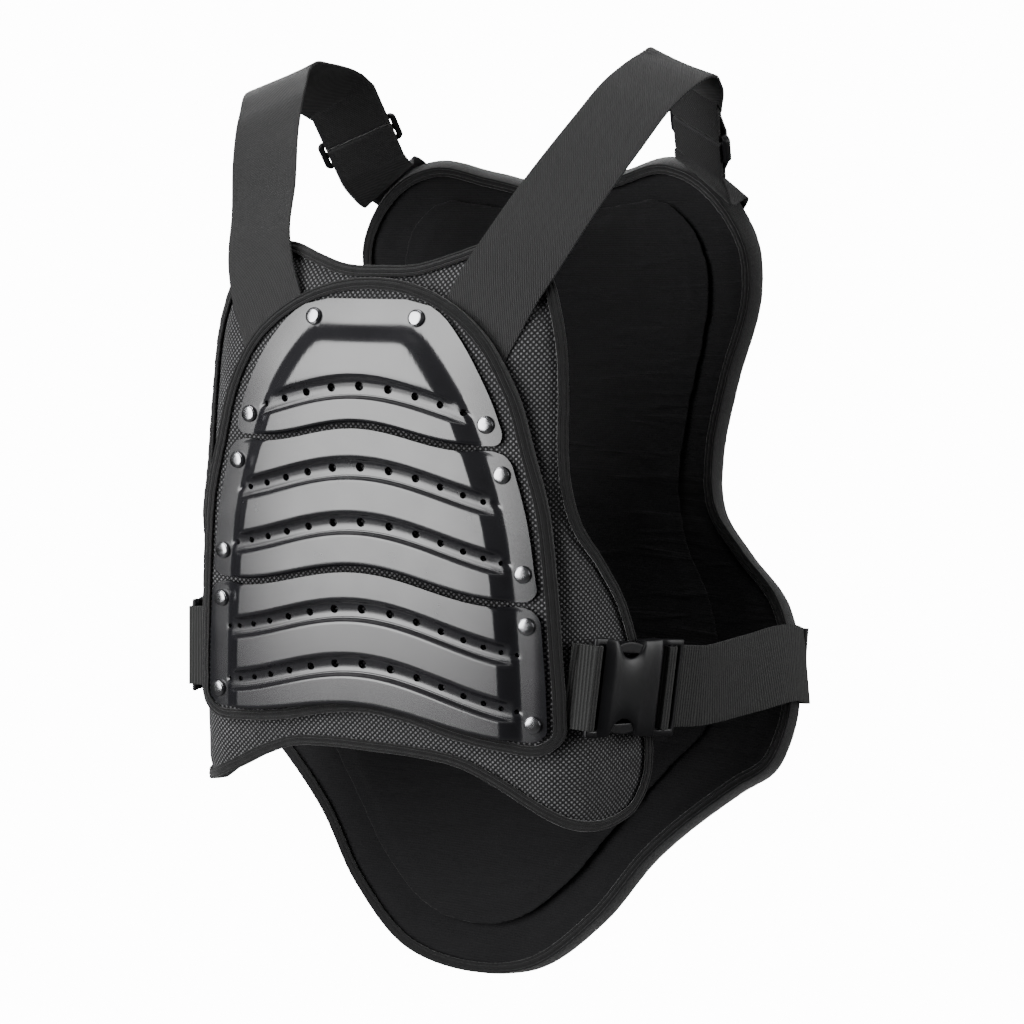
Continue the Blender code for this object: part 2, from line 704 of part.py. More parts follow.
def make_rivets():
    """Domed heads, turned from a profile that runs down the outer side."""
    mesh = bpy.data.meshes.new("rivet")
    bm = bmesh.new()
    profile = [(0.0, RIVET_HEIGHT)]
    profile += [(RIVET_RADIUS * math.sin(a), RIVET_HEIGHT * math.cos(a))
                for a in np.radians((35.0, 65.0))]
    profile += [(RIVET_RADIUS, 0.0), (0.0, 0.0)]
    verts = [bm.verts.new((x, 0.0, z)) for x, z in profile]
    for upper, lower in zip(verts, verts[1:]):
        bm.edges.new((upper, lower))
    bm.to_mesh(mesh)
    bm.free()
    seat = PAD_FRONT + GAP + PLATE_THICK + GAP
    for number, (across, up) in enumerate(RIVETS, 1):
        for side, name in ((1, "right"), (-1, "left")):
            spot = (side * across * PLATE_HALF_WIDTH, up * PLATE_RISE)
            foot = front_place(*spot, seat)
            outward = front_place(*spot, seat + RIVET_HEIGHT) - foot
            obj = new_object(f"rivet_{number}_{name}", mesh, MATERIALS["rivet_metal"])
            obj.location = foot
            obj.rotation_mode = "QUATERNION"
            obj.rotation_quaternion = outward.to_track_quat("Z", "X")
            turned = obj.modifiers.new("turned", "SCREW")
            turned.steps = turned.render_steps = 10
            turned.use_merge_vertices = True
            turned.merge_threshold = WELD


# Shoulder straps and adjusters

def adjuster_frame():
    """Matrix of the right adjuster: X across to the outside, Y down the strap, Z outward."""
    along = Vector(ADJUSTER_AXIS).normalized()
    across = Vector(ADJUSTER_ACROSS)
    across = (across - across.dot(along) * along).normalized()
    outward = across.cross(along)
    turn = Matrix((across, along, outward)).transposed().to_4x4()
    return Matrix.Translation((ADJUSTER_OUT, ADJUSTER_BACK, ADJUSTER_UP)) @ turn


def make_shoulder_strap(cutter):
    """Webbing from the chest pad over the shoulder and round the adjuster's top bar."""
    low = WEB_OFF + 3 * GAP
    over_tape = low + TAPE_THICK + GAP
    lying = []
    for share, depth in ((0.0, low), (0.4, low), (0.7, over_tape), (1.0, over_tape + GAP)):
        across = STRAP_FOOT[0] + share * (STRAP_LEAVES[0] - STRAP_FOOT[0])
        up = STRAP_FOOT[1] + share * (STRAP_LEAVES[1] - STRAP_FOOT[1])
        lying.append(front_place(across, up, depth))
    crest = Vector((CREST_OUT, CREST_BACK, CREST_UP + WEB_THICK / 2))
    frame = adjuster_frame()
    entry = frame @ Vector((0, -STRAP_TAIL, -BAR_LIFT))
    points = lying + part_way(lying[-1], crest, STRAP_CLIMB) + [crest]
    points += part_way(crest, entry, STRAP_FALL) + [entry]
    path = thinned(smooth(points), PATH_SAG)
    second = -BAR_LIFT + WEB_THICK + GAP
    tail = [(-BAR_WIDTH / 2 - WEB_OFF, BAR_LIFT), (-STRAP_TAIL * 0.6, second),
            (-STRAP_TAIL, second)]
    held = [frame @ Vector((0, y, z)) for y, z in round_bar((0.0, 0.0), 1, -1) + tail]
    reach = Vector((STRAP_LEAVES[1] - STRAP_FOOT[1], STRAP_FOOT[0] - STRAP_LEAVES[0]))
    reach *= WEB_WIDTH / 2 / reach.length
    lying_side = (front_place(STRAP_FOOT[0] + reach.x, STRAP_FOOT[1] + reach.y, low)
                  - front_place(STRAP_FOOT[0] - reach.x, STRAP_FOOT[1] - reach.y, low))
    level = frame.col[0].to_3d()
    sides = strap_sides(path, lying_side.normalized(), level) + [level] * len(held)
    strap = ribbon("shoulder_strap_right", list(path) + held, sides, WEB_WIDTH, WEB_THICK,
                   MATERIALS["webbing"])
    cut_by(strap, cutter)
    mirror_copy(strap, "shoulder_strap_left")


def part_way(start, end, table):
    """Points between two ends, from a table of shares of the way in each direction."""
    way = end - start
    return [start + Vector([share * step for share, step in zip(row, way)])
            for row in table]


def strap_sides(path, lying_side, level):
    """The strap's direction across at each point, turning from the chest to the adjuster."""
    shares = shares_along(path)
    crest = shares[np.argmax(path[:, 2])]
    sides = []
    for share in shares:
        if share < crest:
            turned = max(0.0, share / crest - LYING_SHARE) / (1 - LYING_SHARE)
            sides.append(lying_side.lerp(Vector(CREST_ACROSS), turned))
        else:
            turned = (share - crest) / (1 - crest)
            sides.append(Vector(CREST_ACROSS).lerp(level, turned))
    return sides


def cut_by(obj, cutter):
    cut = obj.modifiers.new("cut_to_fit", "BOOLEAN")
    cut.object = cutter
    cut.operation = "DIFFERENCE"


def frame_with_slots(bm, width, bars, slots, thick):
    """A flat frame, its length along Y: side bars, cross bars and the slots between them."""
    half = width / 2
    length = bars[-1][1]
    columns = (-half, -half + FRAME_SIDE, half - FRAME_SIDE, half)
    edges = [bars[0][0]]
    for start, end in bars:
        edges += [start, end]
    marks = sorted(set(edges + [length]))
    grid = {}
    for z in (-thick / 2, thick / 2):
        for y in marks:
            for x in columns:
                grid[(x, y, z)] = bm.verts.new((x, y, z))

    def is_slot(y_low, column):
        return column == 1 and any(abs(y_low - start) < 1e-9 for start, _ in slots)

    cells = [(column, row) for column in range(3) for row in range(len(marks) - 1)
             if not is_slot(marks[row], column)]
    for column, row in cells:
        xs, ys = columns[column:column + 2], marks[row:row + 2]
        corners = [(xs[0], ys[0]), (xs[1], ys[0]), (xs[1], ys[1]), (xs[0], ys[1])]
        for z in (-thick / 2, thick / 2):
            bm.faces.new([grid[(x, y, z)] for x, y in corners])
        neighbours = ((column, row - 1), (column + 1, row), (column, row + 1),
                      (column - 1, row))
        for index, neighbour in enumerate(neighbours):
            if neighbour not in cells:
                start, end = corners[index], corners[(index + 1) % 4]
                bm.faces.new((grid[(*start, -thick / 2)], grid[(*end, -thick / 2)],
                              grid[(*end, thick / 2)], grid[(*start, thick / 2)]))


def make_adjuster():
    """Three-bar slide whose top bar lies at the frame's origin."""
    bar, slot = BAR_WIDTH, SLOT_WIDTH
    first = -bar / 2
    bars = [(first + index * (bar + slot), first + index * (bar + slot) + bar)
            for index in range(3)]
    slots = [(bars[0][1], bars[1][0]), (bars[1][1], bars[2][0])]
    bm = bmesh.new()
    frame_with_slots(bm, WEB_WIDTH + 2 * (FRAME_SIDE + 2 * GAP), bars, slots, BAR_THICK)
    bm.transform(adjuster_frame())
    obj = new_object("adjuster_right", finished(bm, "adjuster_right"),
                     MATERIALS["buckle_plastic"])
    mirror_copy(obj, "adjuster_left")
    return bars


def make_back_strap(bars):
    """Webbing round the adjuster's lower bars, over the back panel's rim and down behind."""
    frame = adjuster_frame()
    middle = (bars[1][0] + bars[1][1]) / 2
    below = bars[2][1]
    second = -BAR_LIFT + WEB_THICK + GAP
    tail = [(below + BACK_STRAP_TAIL, second), (below + BACK_STRAP_TAIL * 0.5, second),
            (below + WEB_OFF, BAR_LIFT)]
    held = tail + round_bar((middle, 0.0), -1, 1) + [(below + BACK_STRAP_TAIL, -BAR_LIFT)]
    path = [frame @ Vector((0, y, z)) for y, z in held]
    edge = back_outline()
    outs = np.linspace(-0.45, 0.45, 7) * WEB_WIDTH + path[-1].x * STRAP_CROSSES
    ups = np.array([top_at(edge, out) for out in outs])
    along = Vector((outs[-1] - outs[0], ups[-1] - ups[0])).normalized()
    down = Vector((along.y, -along.x))
    bulge = max(-down.dot(Vector((out - outs[0], up - ups[0]))) for out, up in zip(outs, ups))
    middle = Vector((outs[0] + outs[-1], ups[0] + ups[-1])) / 2
    over = bulge + 4 * GAP + WEB_OFF
    lie = BACK_THICK + TAPE_THICK + 4 * GAP + WEB_OFF
    route = ((-over, TAPE_THICK + WEB_OFF), (-over, -BACK_THICK), (-over * 0.6, -lie),
             (BACK_STRAP_LAP * 0.3, -lie), (BACK_STRAP_LAP, -lie))
    points = path[-2:]
    for distance, depth in route:
        spot = middle + down * distance
        points.append(back_place(spot.x, spot.y, depth))
    free = thinned(smooth(points)[FINE:], PATH_SAG)
    lying = (back_place(middle.x + along.x * 0.01, middle.y + along.y * 0.01, -lie)
             - back_place(middle.x - along.x * 0.01, middle.y - along.y * 0.01, -lie))
    level = frame.col[0].to_3d()
    sides = [level] * len(held)
    sides += [level.lerp(lying.normalized(), min(1.0, share / BACK_STRAP_TURN))
              for share in shares_along(free)[1:]]
    strap = ribbon("back_strap_right", path + list(free[1:]), sides, WEB_WIDTH, WEB_THICK,
                   MATERIALS["webbing"])
    mirror_copy(strap, "back_strap_left")


# Belt and buckles

def buckle_place(along, across, lift):
    """A point beside the right buckle: along it from its start, across up, lift outward."""
    drop = math.radians(BUCKLE_DROP)
    middle = (SOCKET_LENGTH + PLUG_LENGTH) / 2
    run = along - middle
    cloth = BUCKLE_FROM + middle + run * math.cos(drop) + across * math.sin(drop)
    up = BUCKLE_HEIGHT - run * math.sin(drop) + across * math.cos(drop)
    return front_place(cloth, up, lift)


def buckle_frame():
    """Matrix of the right buckle: X along it to the back, Y across and up, Z outward."""
    start = buckle_place(0.02, 0.0, BUCKLE_LIFT)
    along = buckle_place(0.06, 0.0, BUCKLE_LIFT) - start
    across = buckle_place(0.02, 0.02, BUCKLE_LIFT) - start
    along.normalize()
    across = (across - across.dot(along) * along).normalized()
    turn = Matrix((along, across, along.cross(across))).transposed().to_4x4()
    return Matrix.Translation(start - along * 0.02) @ turn


def box(bm, low, high):
    """An upright box between two corners."""
    size = [b - a for a, b in zip(low, high)]
    middle = [(a + b) / 2 for a, b in zip(low, high)]
    matrix = Matrix.Translation(middle) @ Matrix.Diagonal((*size, 1.0))
    bmesh.ops.create_cube(bm, size=1.0, matrix=matrix)


def socket_cutters():
    """The socket's pocket, its webbing slot and its two round side windows."""
    half = SOCKET_WIDTH / 2
    bar_end = BAR_WIDTH
    slot_end = bar_end + SLOT_WIDTH
    bm = bmesh.new()
    inner = half - SOCKET_WALL
    box(bm, (slot_end + SOCKET_WALL, -inner, -SOCKET_THICK / 2 + SOCKET_WALL),
        (SOCKET_LENGTH + SOCKET_WALL, inner, SOCKET_THICK / 2 - SOCKET_WALL))
    pocket = new_object("socket_pocket", finished(bm, "socket_pocket"), None, "cutters")
    bm = bmesh.new()
    box(bm, (bar_end, -half + FRAME_SIDE, -SOCKET_THICK),
        (slot_end, half - FRAME_SIDE, SOCKET_THICK))
    middle = (slot_end + SOCKET_LENGTH) / 2
    for side in (-1, 1):
        bmesh.ops.create_cone(bm, cap_ends=True, segments=12, radius1=WINDOW_RADIUS,
                              radius2=WINDOW_RADIUS, depth=SOCKET_THICK * 3,
                              matrix=Matrix.Translation((middle, side * half, 0.0)))
    windows = new_object("socket_windows", finished(bm, "socket_windows"), None, "cutters")
    return pocket, windows


def make_buckle():
    """Socket on the stub and plug on the belt, fastened: the plug's prongs fill the pocket."""
    frame = buckle_frame()
    half = SOCKET_WIDTH / 2
    pocket, windows = socket_cutters()
    bm = bmesh.new()
    thin, thick = BAR_THICK / 2, SOCKET_THICK / 2
    head = BAR_WIDTH + SLOT_WIDTH
    stations = ((0.0, thin), (head, thin), (head + SOCKET_WALL * 2, thick),
                (SOCKET_LENGTH, thick))
    loft(bm, [[(x, wide * half, high * deep) for wide, high in SOCKET_SECTION]
              for x, deep in stations])
    socket = new_object("buckle_socket_right", finished(bm, "buckle_socket_right"),
                        MATERIALS["buckle_plastic"])
    for cutter in (pocket, windows):
        cutter.matrix_basis = frame
        cut_by(socket, cutter)
    socket.matrix_basis = frame
    plug, bars = make_plug(frame)
    settle_mirror(socket, "buckle_socket_left")
    settle_mirror(plug, "buckle_plug_left")
    return bars


def settle_mirror(obj, name):
    """Apply the piece's modifiers where it lies, and add its left copy."""
    bpy.context.view_layer.update()
    graph = bpy.context.evaluated_depsgraph_get()
    bm = bmesh.new()
    bm.from_mesh(bpy.data.meshes.new_from_object(obj.evaluated_get(graph)))
    bm.transform(obj.matrix_basis)
    obj.modifiers.clear()
    bm.to_mesh(obj.data)
    bm.free()
    obj.matrix_basis = Matrix.Identity(4)
    mirror_copy(obj, name)


def make_plug(frame):
    """Two-bar frame for the belt, with a middle guide and two sprung prongs."""
    start = SOCKET_LENGTH + GAP
    half = SOCKET_WIDTH / 2
    lane = half - SOCKET_WALL - GAP
    deep = SOCKET_THICK / 2 - SOCKET_WALL - GAP
    bm = bmesh.new()
    bar, slot = BAR_WIDTH, SLOT_WIDTH
    bars = [(start + index * (bar + slot), start + index * (bar + slot) + bar)
            for index in range(3)]
    slots = [(bars[0][1], bars[1][0]), (bars[1][1], bars[2][0])]
    turned = bmesh.new()
    frame_with_slots(turned, SOCKET_WIDTH, bars, slots, BAR_THICK)
    turned.transform(Matrix(((0, 1, 0, 0), (1, 0, 0, 0), (0, 0, -1, 0), (0, 0, 0, 1))))
    frame_mesh = finished(turned, "buckle_plug_right")
    plug = new_object("buckle_plug_right", frame_mesh, MATERIALS["buckle_plastic"])
    sink = start + bar / 2
    shapes = []
    for side in (-1, 1):
        shapes.append([(sink, side * (lane - PRONG_WIDTH)), (sink, side * lane)])
        shapes[-1] += [(start - share * PRONG_LENGTH, side * (lane - inward * PRONG_WIDTH))
                       for share, inward in PRONG_SHAPE]
    guide, tip = GUIDE_WIDTH / 2, GUIDE_WIDTH / 2 - SOCKET_WALL
    shapes.append([(sink, guide), (start - GUIDE_LENGTH, tip), (start - GUIDE_LENGTH, -tip),
                   (sink, -guide)])
    for shape in shapes:
        loft(bm, [[(x, y, side * (deep - GAP)) for x, y in shape] for side in (-1, 1)])
    prongs = new_object("plug_prongs", finished(bm, "plug_prongs"), None, "cutters")
    joined = plug.modifiers.new("prongs", "BOOLEAN")
    joined.operation = "UNION"
    joined.object = prongs
    prongs.matrix_basis = frame
    plug.matrix_basis = frame
    return plug, bars


def held_webbing(frame, side_view):
    """The path and across directions of webbing given by its side view along the buckle."""
    path = [frame @ Vector((along, 0.0, lift)) for along, lift in side_view]
    return path, [frame.col[1].to_3d()] * len(path)


def lying_webbing(side_view):
    """The same for webbing that lies on the cloth beside the buckle."""
    path = [buckle_place(along, 0.0, lift) for along, lift in side_view]
    sides = [buckle_place(along, WEB_WIDTH / 2, lift) - buckle_place(along, -WEB_WIDTH / 2, lift)
             for along, lift in side_view]
    return path, [side.normalized() for side in sides]


def make_stub():
    """Short webbing from the chest pad's rim, round the socket's bar and back under itself."""
    start = PAD_HALF_WIDTH - BUCKLE_FROM
    low = WEB_OFF + 2 * GAP
    second = low + WEB_THICK + GAP
    spots = (start - STUB_HIDDEN, start, start * 0.6)
    over = lying_webbing([(along, second) for along in spots])
    under = lying_webbing([(along, low) for along in spots[::-1]])
    around = [(-WEB_OFF / 2, BAR_LIFT)] + round_bar((BAR_WIDTH / 2, 0.0), 1, 1)
    turn = held_webbing(buckle_frame(), around + [(0.0, -BAR_LIFT)])
    path, sides = [first + second + third for first, second, third in zip(over, turn, under)]
    stub = ribbon("belt_stub_right", path, sides, WEB_WIDTH, WEB_THICK, MATERIALS["webbing"])
    rim = [(half_width_at(pad_outline(), BUCKLE_HEIGHT + rise) + 3 * GAP, BUCKLE_HEIGHT + rise)
           for rise in (-WEB_WIDTH / 2, WEB_WIDTH / 2)]
    low, high, outward = [front_place(*rim[0], 0.0), front_place(*rim[1], 0.0),
                          front_place(*rim[0], WEB_WIDTH)]
    trim(stub, low, (high - low).cross(outward - low))
    mirror_copy(stub, "belt_stub_left")


def trim(obj, point, normal):
    """Cut off what lies behind a plane."""
    bm = bmesh.new()
    bm.from_mesh(obj.data)
    everything = bm.verts[:] + bm.edges[:] + bm.faces[:]
    cut = bmesh.ops.bisect_plane(bm, geom=everything, dist=1e-6, plane_co=point,
                                 plane_no=normal, clear_inner=True)
    rims = [piece for piece in cut["geom_cut"] if isinstance(piece, bmesh.types.BMEdge)]
    bmesh.ops.holes_fill(bm, edges=rims)
    bm.to_mesh(obj.data)
    bm.free()


def make_belt(bars):
    """Elastic band from plug to plug, threaded over each plug's middle bar and carried round
    the outside of the back panel."""
    middle = ((bars[1][0] + bars[1][1]) / 2, 0.0)
    last_from, last_to = bars[2]
    under = -BAR_LIFT - WEB_THICK - GAP
    tail = [(last_to + BELT_TAIL, under), (bars[1][1] + WEB_OFF, under)]
    main = [(bars[1][1] + WEB_OFF * 2, -BAR_LIFT * 0.75), (last_from, -BAR_LIFT),
            (last_to, -BAR_LIFT), (last_to + BELT_TAIL, -BAR_LIFT)]
    turn = round_bar(middle, -1, -1) + round_bar(middle, 1, 1)[:3]
    held, sides = held_webbing(buckle_frame(), tail + turn + main)
    outline = back_outline()
    ends = [BELT_HEIGHT + side * WEB_WIDTH / 2 for side in (-1, 1)]
    low, high = [back_place(half_width_at(outline, up), up, -BACK_THICK / 2) for up in ends]
    tilt = (high - low).normalized()
    edge = half_width_at(outline, BELT_HEIGHT)
    clear = 3 * GAP + WEB_OFF
    lie = BACK_THICK + TAPE_THICK + 3 * GAP + clear
    corner = ((edge + clear, TAPE_THICK + GAP), (edge + clear, -BACK_THICK),
              (edge + clear * 0.7, clear * 0.3 - lie), (edge - clear, -lie))
    points = held[-2:] + [back_place(out, BELT_HEIGHT, depth) for out, depth in corner]
    points.insert(2, held[-1].lerp(points[2], 0.5))
    points += [back_place(edge * share, BELT_HEIGHT, -lie) for share in (0.85, 0.6, 0.3, 0.0)]
    free = thinned(smooth(points)[FINE:], PATH_SAG)
    path = held + [Vector(point) for point in free[1:]]
    path[-1].x = 0.0
    upright = sides[-1]
    corner_at = shares_along(free)[int(np.argmax(free[:, 0]))]
    for share, point in zip(shares_along(free)[1:], path[len(held):]):
        if share <= corner_at:
            sides.append(upright.lerp(tilt, share / corner_at))
        else:
            rise = (back_place(point.x, ends[1], -lie) - back_place(point.x, ends[0], -lie))
            rise.x = tilt.x * rise.length * (point.x / edge)**4
            sides.append(rise.normalized())
    left_path = [Vector((-point.x, point.y, point.z)) for point in path[:-1]]
    left_sides = [Vector((side.x, -side.y, -side.z)) for side in sides[:-1]]
    sides += [-side for side in left_sides[::-1]]
    ribbon("waist_belt", path + left_path[::-1], sides, WEB_WIDTH, WEB_THICK,
           MATERIALS["elastic"])


PLATE_HALF_WIDTH = PAD_HALF_WIDTH - TAPE_FACE - PLATE_MARGIN
WEB_OFF = GAP + WEB_THICK / 2
PLUG_LENGTH = 3 * BAR_WIDTH + 2 * SLOT_WIDTH
BAR_LIFT = BAR_THICK / 2 + WEB_OFF
PAD_BACK = TAPE_THICK + 2 * GAP
PAD_FRONT = PAD_BACK + PAD_THICK

for old in list(bpy.data.objects):
    bpy.data.objects.remove(old, do_unlink=True)
COLLECTIONS = {}
for title, group_name in (("pieces", "body_protector_vest"), ("cutters", "cutters")):
    COLLECTIONS[title] = bpy.data.collections.new(group_name)
    bpy.context.scene.collection.children.link(COLLECTIONS[title])
CARRIER = bpy.data.objects.new("vest_carrier", None)
CARRIER.location = (0.0, -CREST_BACK, -CREST_UP)
COLLECTIONS["pieces"].objects.link(CARRIER)
MATERIALS = {
    "mesh_cloth": principled("mesh_cloth", (0.045, 0.046, 0.049), 0.85),
    "tape": principled("tape", (0.030, 0.030, 0.032), 0.9),
    "plate_plastic": principled("plate_plastic", (0.032, 0.032, 0.038), 0.32),
    "rivet_metal": principled("rivet_metal", (0.20, 0.20, 0.21), 0.15, 1.0),
    "webbing": principled("webbing", (0.035, 0.036, 0.038), 0.8),
    "elastic": principled("elastic", (0.030, 0.031, 0.030), 0.85),
    "buckle_plastic": principled("buckle_plastic", (0.020, 0.020, 0.022), 0.35),
    "brushed_cloth": principled("brushed_cloth", (0.012, 0.012, 0.013), 0.95),
}

make_front()
chest_room = make_chest_pad()
make_back()
for plate_number, plate_name in enumerate(("plate_upper", "plate_middle", "plate_lower")):
    make_plate(plate_number, plate_name)
make_rivets()
make_shoulder_strap(chest_room)
adjuster_bars = make_adjuster()
make_back_strap(adjuster_bars)
plug_bars = make_buckle()
make_stub()
make_belt(plug_bars)
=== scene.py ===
# %% [markdown]
# # A motorcycle body protector vest
#
# The real vest is sewn, moulded and riveted: foam panels covered with dotted mesh in front and
# brushed cloth behind, three vented plastic plates on the chest, webbing over the shoulders and
# an elastic belt with side release buckles. This notebook dresses the plain frame model with
# those finishes. Everything is in metres, X to the right, Y to the back and Z up.

import math

import bpy
import numpy as np
from mathutils import Matrix, Vector


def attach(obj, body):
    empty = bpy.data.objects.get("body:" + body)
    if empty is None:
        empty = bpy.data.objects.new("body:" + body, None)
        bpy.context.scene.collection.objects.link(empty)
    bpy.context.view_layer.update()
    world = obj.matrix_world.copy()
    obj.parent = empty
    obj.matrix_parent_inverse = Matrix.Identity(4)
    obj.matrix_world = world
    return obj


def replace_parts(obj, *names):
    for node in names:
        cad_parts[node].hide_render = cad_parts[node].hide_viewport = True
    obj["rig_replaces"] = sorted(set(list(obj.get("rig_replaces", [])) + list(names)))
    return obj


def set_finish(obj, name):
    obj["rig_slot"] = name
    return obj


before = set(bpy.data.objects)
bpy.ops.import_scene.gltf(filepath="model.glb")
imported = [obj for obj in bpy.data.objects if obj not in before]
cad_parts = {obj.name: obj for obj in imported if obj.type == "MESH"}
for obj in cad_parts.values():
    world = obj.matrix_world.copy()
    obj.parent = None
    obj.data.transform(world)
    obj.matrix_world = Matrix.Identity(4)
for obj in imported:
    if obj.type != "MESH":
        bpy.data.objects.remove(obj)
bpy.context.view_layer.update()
print("frame nodes:", len(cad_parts))

# %% [markdown]
# ## The patterns
#
# A padded panel starts as a flat paper pattern. Each table below is half an outline, from the
# top middle round to the bottom middle. Across is a share of the half width, and up is a share
# of the height above the chest datum or, below it, of the drop. The datum is the middle hole of
# the third row of vents, and the shoulders, which are the origin, lie behind and above it.

# %% Measures of the panels
SHOULDERS = np.array((0.0, 0.151, 0.272))       # the origin, measured from the chest datum
SEAM_GAP = 0.0005
WEB_WIDTH = 0.050
WEB_THICK = 0.0015
TAPE_THICK = 0.0012
TAPE_FACE = 0.0065

FRONT_BEHIND, FRONT_THICK = 0.0095, 0.008
FRONT_HALF_SPAN, FRONT_RISE, FRONT_DROP = 0.191, 0.165, 0.183
CHEST_TURN, WING_TURN = 7.6, 65.0               # degrees
CHEST_LEAN, LEAN_FROM = 0.026, 0.5
PAD_BACK, PAD_THICK = 0.0022, 0.0045
PAD_HALF_WIDTH, PAD_RISE, PAD_DROP = 0.1235, 0.141, 0.117
BACK_DEPTH, BACK_THICK = 0.261, 0.012
BACK_HALF_WIDTH, BACK_RISE, BACK_DROP = 0.208, 0.224, 0.330
BACK_PAD_LIFT, BACK_PAD_THICK = 0.002, 0.007
BACK_PAD_HALF_WIDTH, BACK_PAD_RISE, BACK_PAD_DROP = 0.158, 0.200, 0.300

FRONT_OUTLINE = (
    # across, up
    (0.000, 0.912), (0.125, 0.918), (0.235, 0.955), (0.330, 0.992), (0.420, 1.000),
    (0.510, 0.960), (0.574, 0.866), (0.612, 0.760), (0.640, 0.640), (0.652, 0.480),
    (0.652, 0.300), (0.666, 0.140), (0.700, 0.015), (0.785, -0.110), (0.865, -0.235),
    (0.920, -0.375), (0.965, -0.560), (0.998, -0.740), (0.990, -0.860), (0.925, -0.965),
    (0.820, -1.000), (0.680, -0.985), (0.545, -0.920), (0.420, -0.850), (0.300, -0.800),
    (0.150, -0.782), (0.000, -0.780),
)
PAD_OUTLINE = (
    # across, up
    (0.000, 1.000), (0.210, 0.980), (0.420, 0.912), (0.620, 0.780), (0.765, 0.580),
    (0.860, 0.310), (0.925, 0.090), (0.962, -0.260), (0.985, -0.640), (0.998, -0.900),
    (0.990, -1.055), (0.920, -1.125), (0.720, -1.130), (0.460, -1.090), (0.210, -1.025),
    (0.000, -1.000),
)
BACK_OUTLINE = (
    # across, up
    (0.000, 0.888), (0.235, 0.931), (0.423, 0.967), (0.519, 0.940), (0.655, 0.826),
    (0.719, 0.697), (0.723, 0.600), (0.647, 0.300), (0.623, 0.080), (0.656, -0.045),
    (0.772, -0.125), (0.925, -0.215), (0.995, -0.340), (0.999, -0.455), (0.962, -0.521),
    (0.861, -0.570), (0.603, -0.720), (0.440, -0.860), (0.219, -0.975), (0.000, -1.000),
)
BACK_PAD_OUTLINE = (
    # across, up
    (0.000, 0.935), (0.320, 0.950), (0.545, 0.965), (0.690, 0.875), (0.757, 0.730),
    (0.745, 0.540), (0.690, 0.250), (0.680, 0.000), (0.765, -0.140), (0.905, -0.250),
    (1.000, -0.400), (0.985, -0.510), (0.850, -0.600), (0.625, -0.750), (0.420, -0.890),
    (0.215, -0.975), (0.000, -1.000),
)
FRONT_BENDS = (
    # up, start and length of the bend as shares of the half span, turn as a share of WING_TURN
    (0.00, 0.565, 0.188, 1.00), (0.27, 0.532, 0.188, 0.90), (0.60, 0.469, 0.188, 0.72),
    (0.73, 0.461, 0.188, 0.69),
)
BACK_PROFILE = (
    # up, depth as a share of BACK_DEPTH, forward curl of the sides in metres at 0.1 m out
    (1.07, 1.000, 0.015), (0.82, 1.075, 0.013), (0.54, 1.115, 0.011), (0.27, 1.080, 0.010),
    (0.00, 1.000, 0.009), (-0.18, 0.895, 0.006), (-0.36, 0.778, 0.003), (-0.52, 0.690, 0.003),
    (-0.67, 0.625, 0.005), (-0.84, 0.560, 0.008), (-1.05, 0.465, 0.010),
)

# %% [markdown]
# ## Smooth lines and the two bent surfaces
#
# A curve through the tabled points keeps each one and turns softly between them. The front
# surface is the chest, nearly flat, with a wing bent back at each side. The back surface
# follows the spine and curls forward a little at its sides. `lay_on` takes points of a flat
# pattern, with their depth, and lays them on one of the two.

# %% Curves and surfaces
def smooth_line(points, fine=8):
    """A dense line on the smooth curve through the given points."""
    points = np.asarray(points, float)
    steps = np.diff(points, axis=0)
    lengths = np.linalg.norm(steps, axis=1)[:, None]
    rates = steps / lengths
    slopes = np.vstack([rates[:1], points[1:-1], rates[-1:]])
    slopes[1:-1] = rates[:-1] * lengths[1:] + rates[1:] * lengths[:-1]
    slopes[1:-1] /= lengths[:-1] + lengths[1:]
    share = (np.arange(fine) / fine)[:, None]
    rest = 1 - share
    dense = []
    for index, length in enumerate(lengths):
        dense.append(points[index] * (1 + 2 * share) * rest**2
                     + slopes[index] * length * share * rest**2
                     + points[index + 1] * (3 - 2 * share) * share**2
                     - slopes[index + 1] * length * rest * share**2)
    dense.append(points[-1:])
    return np.vstack(dense)


def run_along(points):
    """The length along a line up to each of its points."""
    return np.concatenate(([0.0], np.cumsum(np.linalg.norm(np.diff(points, axis=0), axis=1))))


def shares_along(points):
    """The share of a line's length up to each of its points."""
    run = run_along(points)
    return run / run[-1]


def sampled(values, run, places):
    """Rows of values, given at each length of a run, at other places along it."""
    return np.stack([np.interp(places, run, column) for column in values.T], axis=1)


def unit(vectors):
    """The rows of an array, each made one long."""
    return vectors / np.linalg.norm(vectors, axis=1)[:, None]


def evenly(points, step, closed=False):
    """The same line with a point every step or so."""
    points = np.vstack([points, points[:1]]) if closed else np.asarray(points)
    run = run_along(points)
    count = max(2, round(run[-1] / step))
    line = sampled(points, run, np.linspace(0, run[-1], count + 1))
    return line[:-1] if closed else line


def outline(table, half_width, rise, drop):
    """A whole pattern outline, clockwise from the top middle."""
    half = [(across * half_width, up * (rise if up > 0 else drop)) for across, up in table]
    around = [(-half[1][0], half[1][1])] + half + [(-half[-2][0], half[-2][1])]
    half = smooth_line(around)[8:-8]
    half[0][0] = half[-1][0] = 0.0
    return np.vstack([half, half[1:-1][::-1] * (-1.0, 1.0)])


def inset(edge, distance):
    """A closed outline moved inward."""
    ahead = unit(np.roll(edge, -1, axis=0) - edge)
    behind = np.roll(ahead, 1, axis=0)
    inward = np.stack([ahead[:, 1] + behind[:, 1], -ahead[:, 0] - behind[:, 0]], axis=1)
    shared = 1.0 + (ahead * behind).sum(axis=1)
    return edge + distance * inward / shared[:, None]


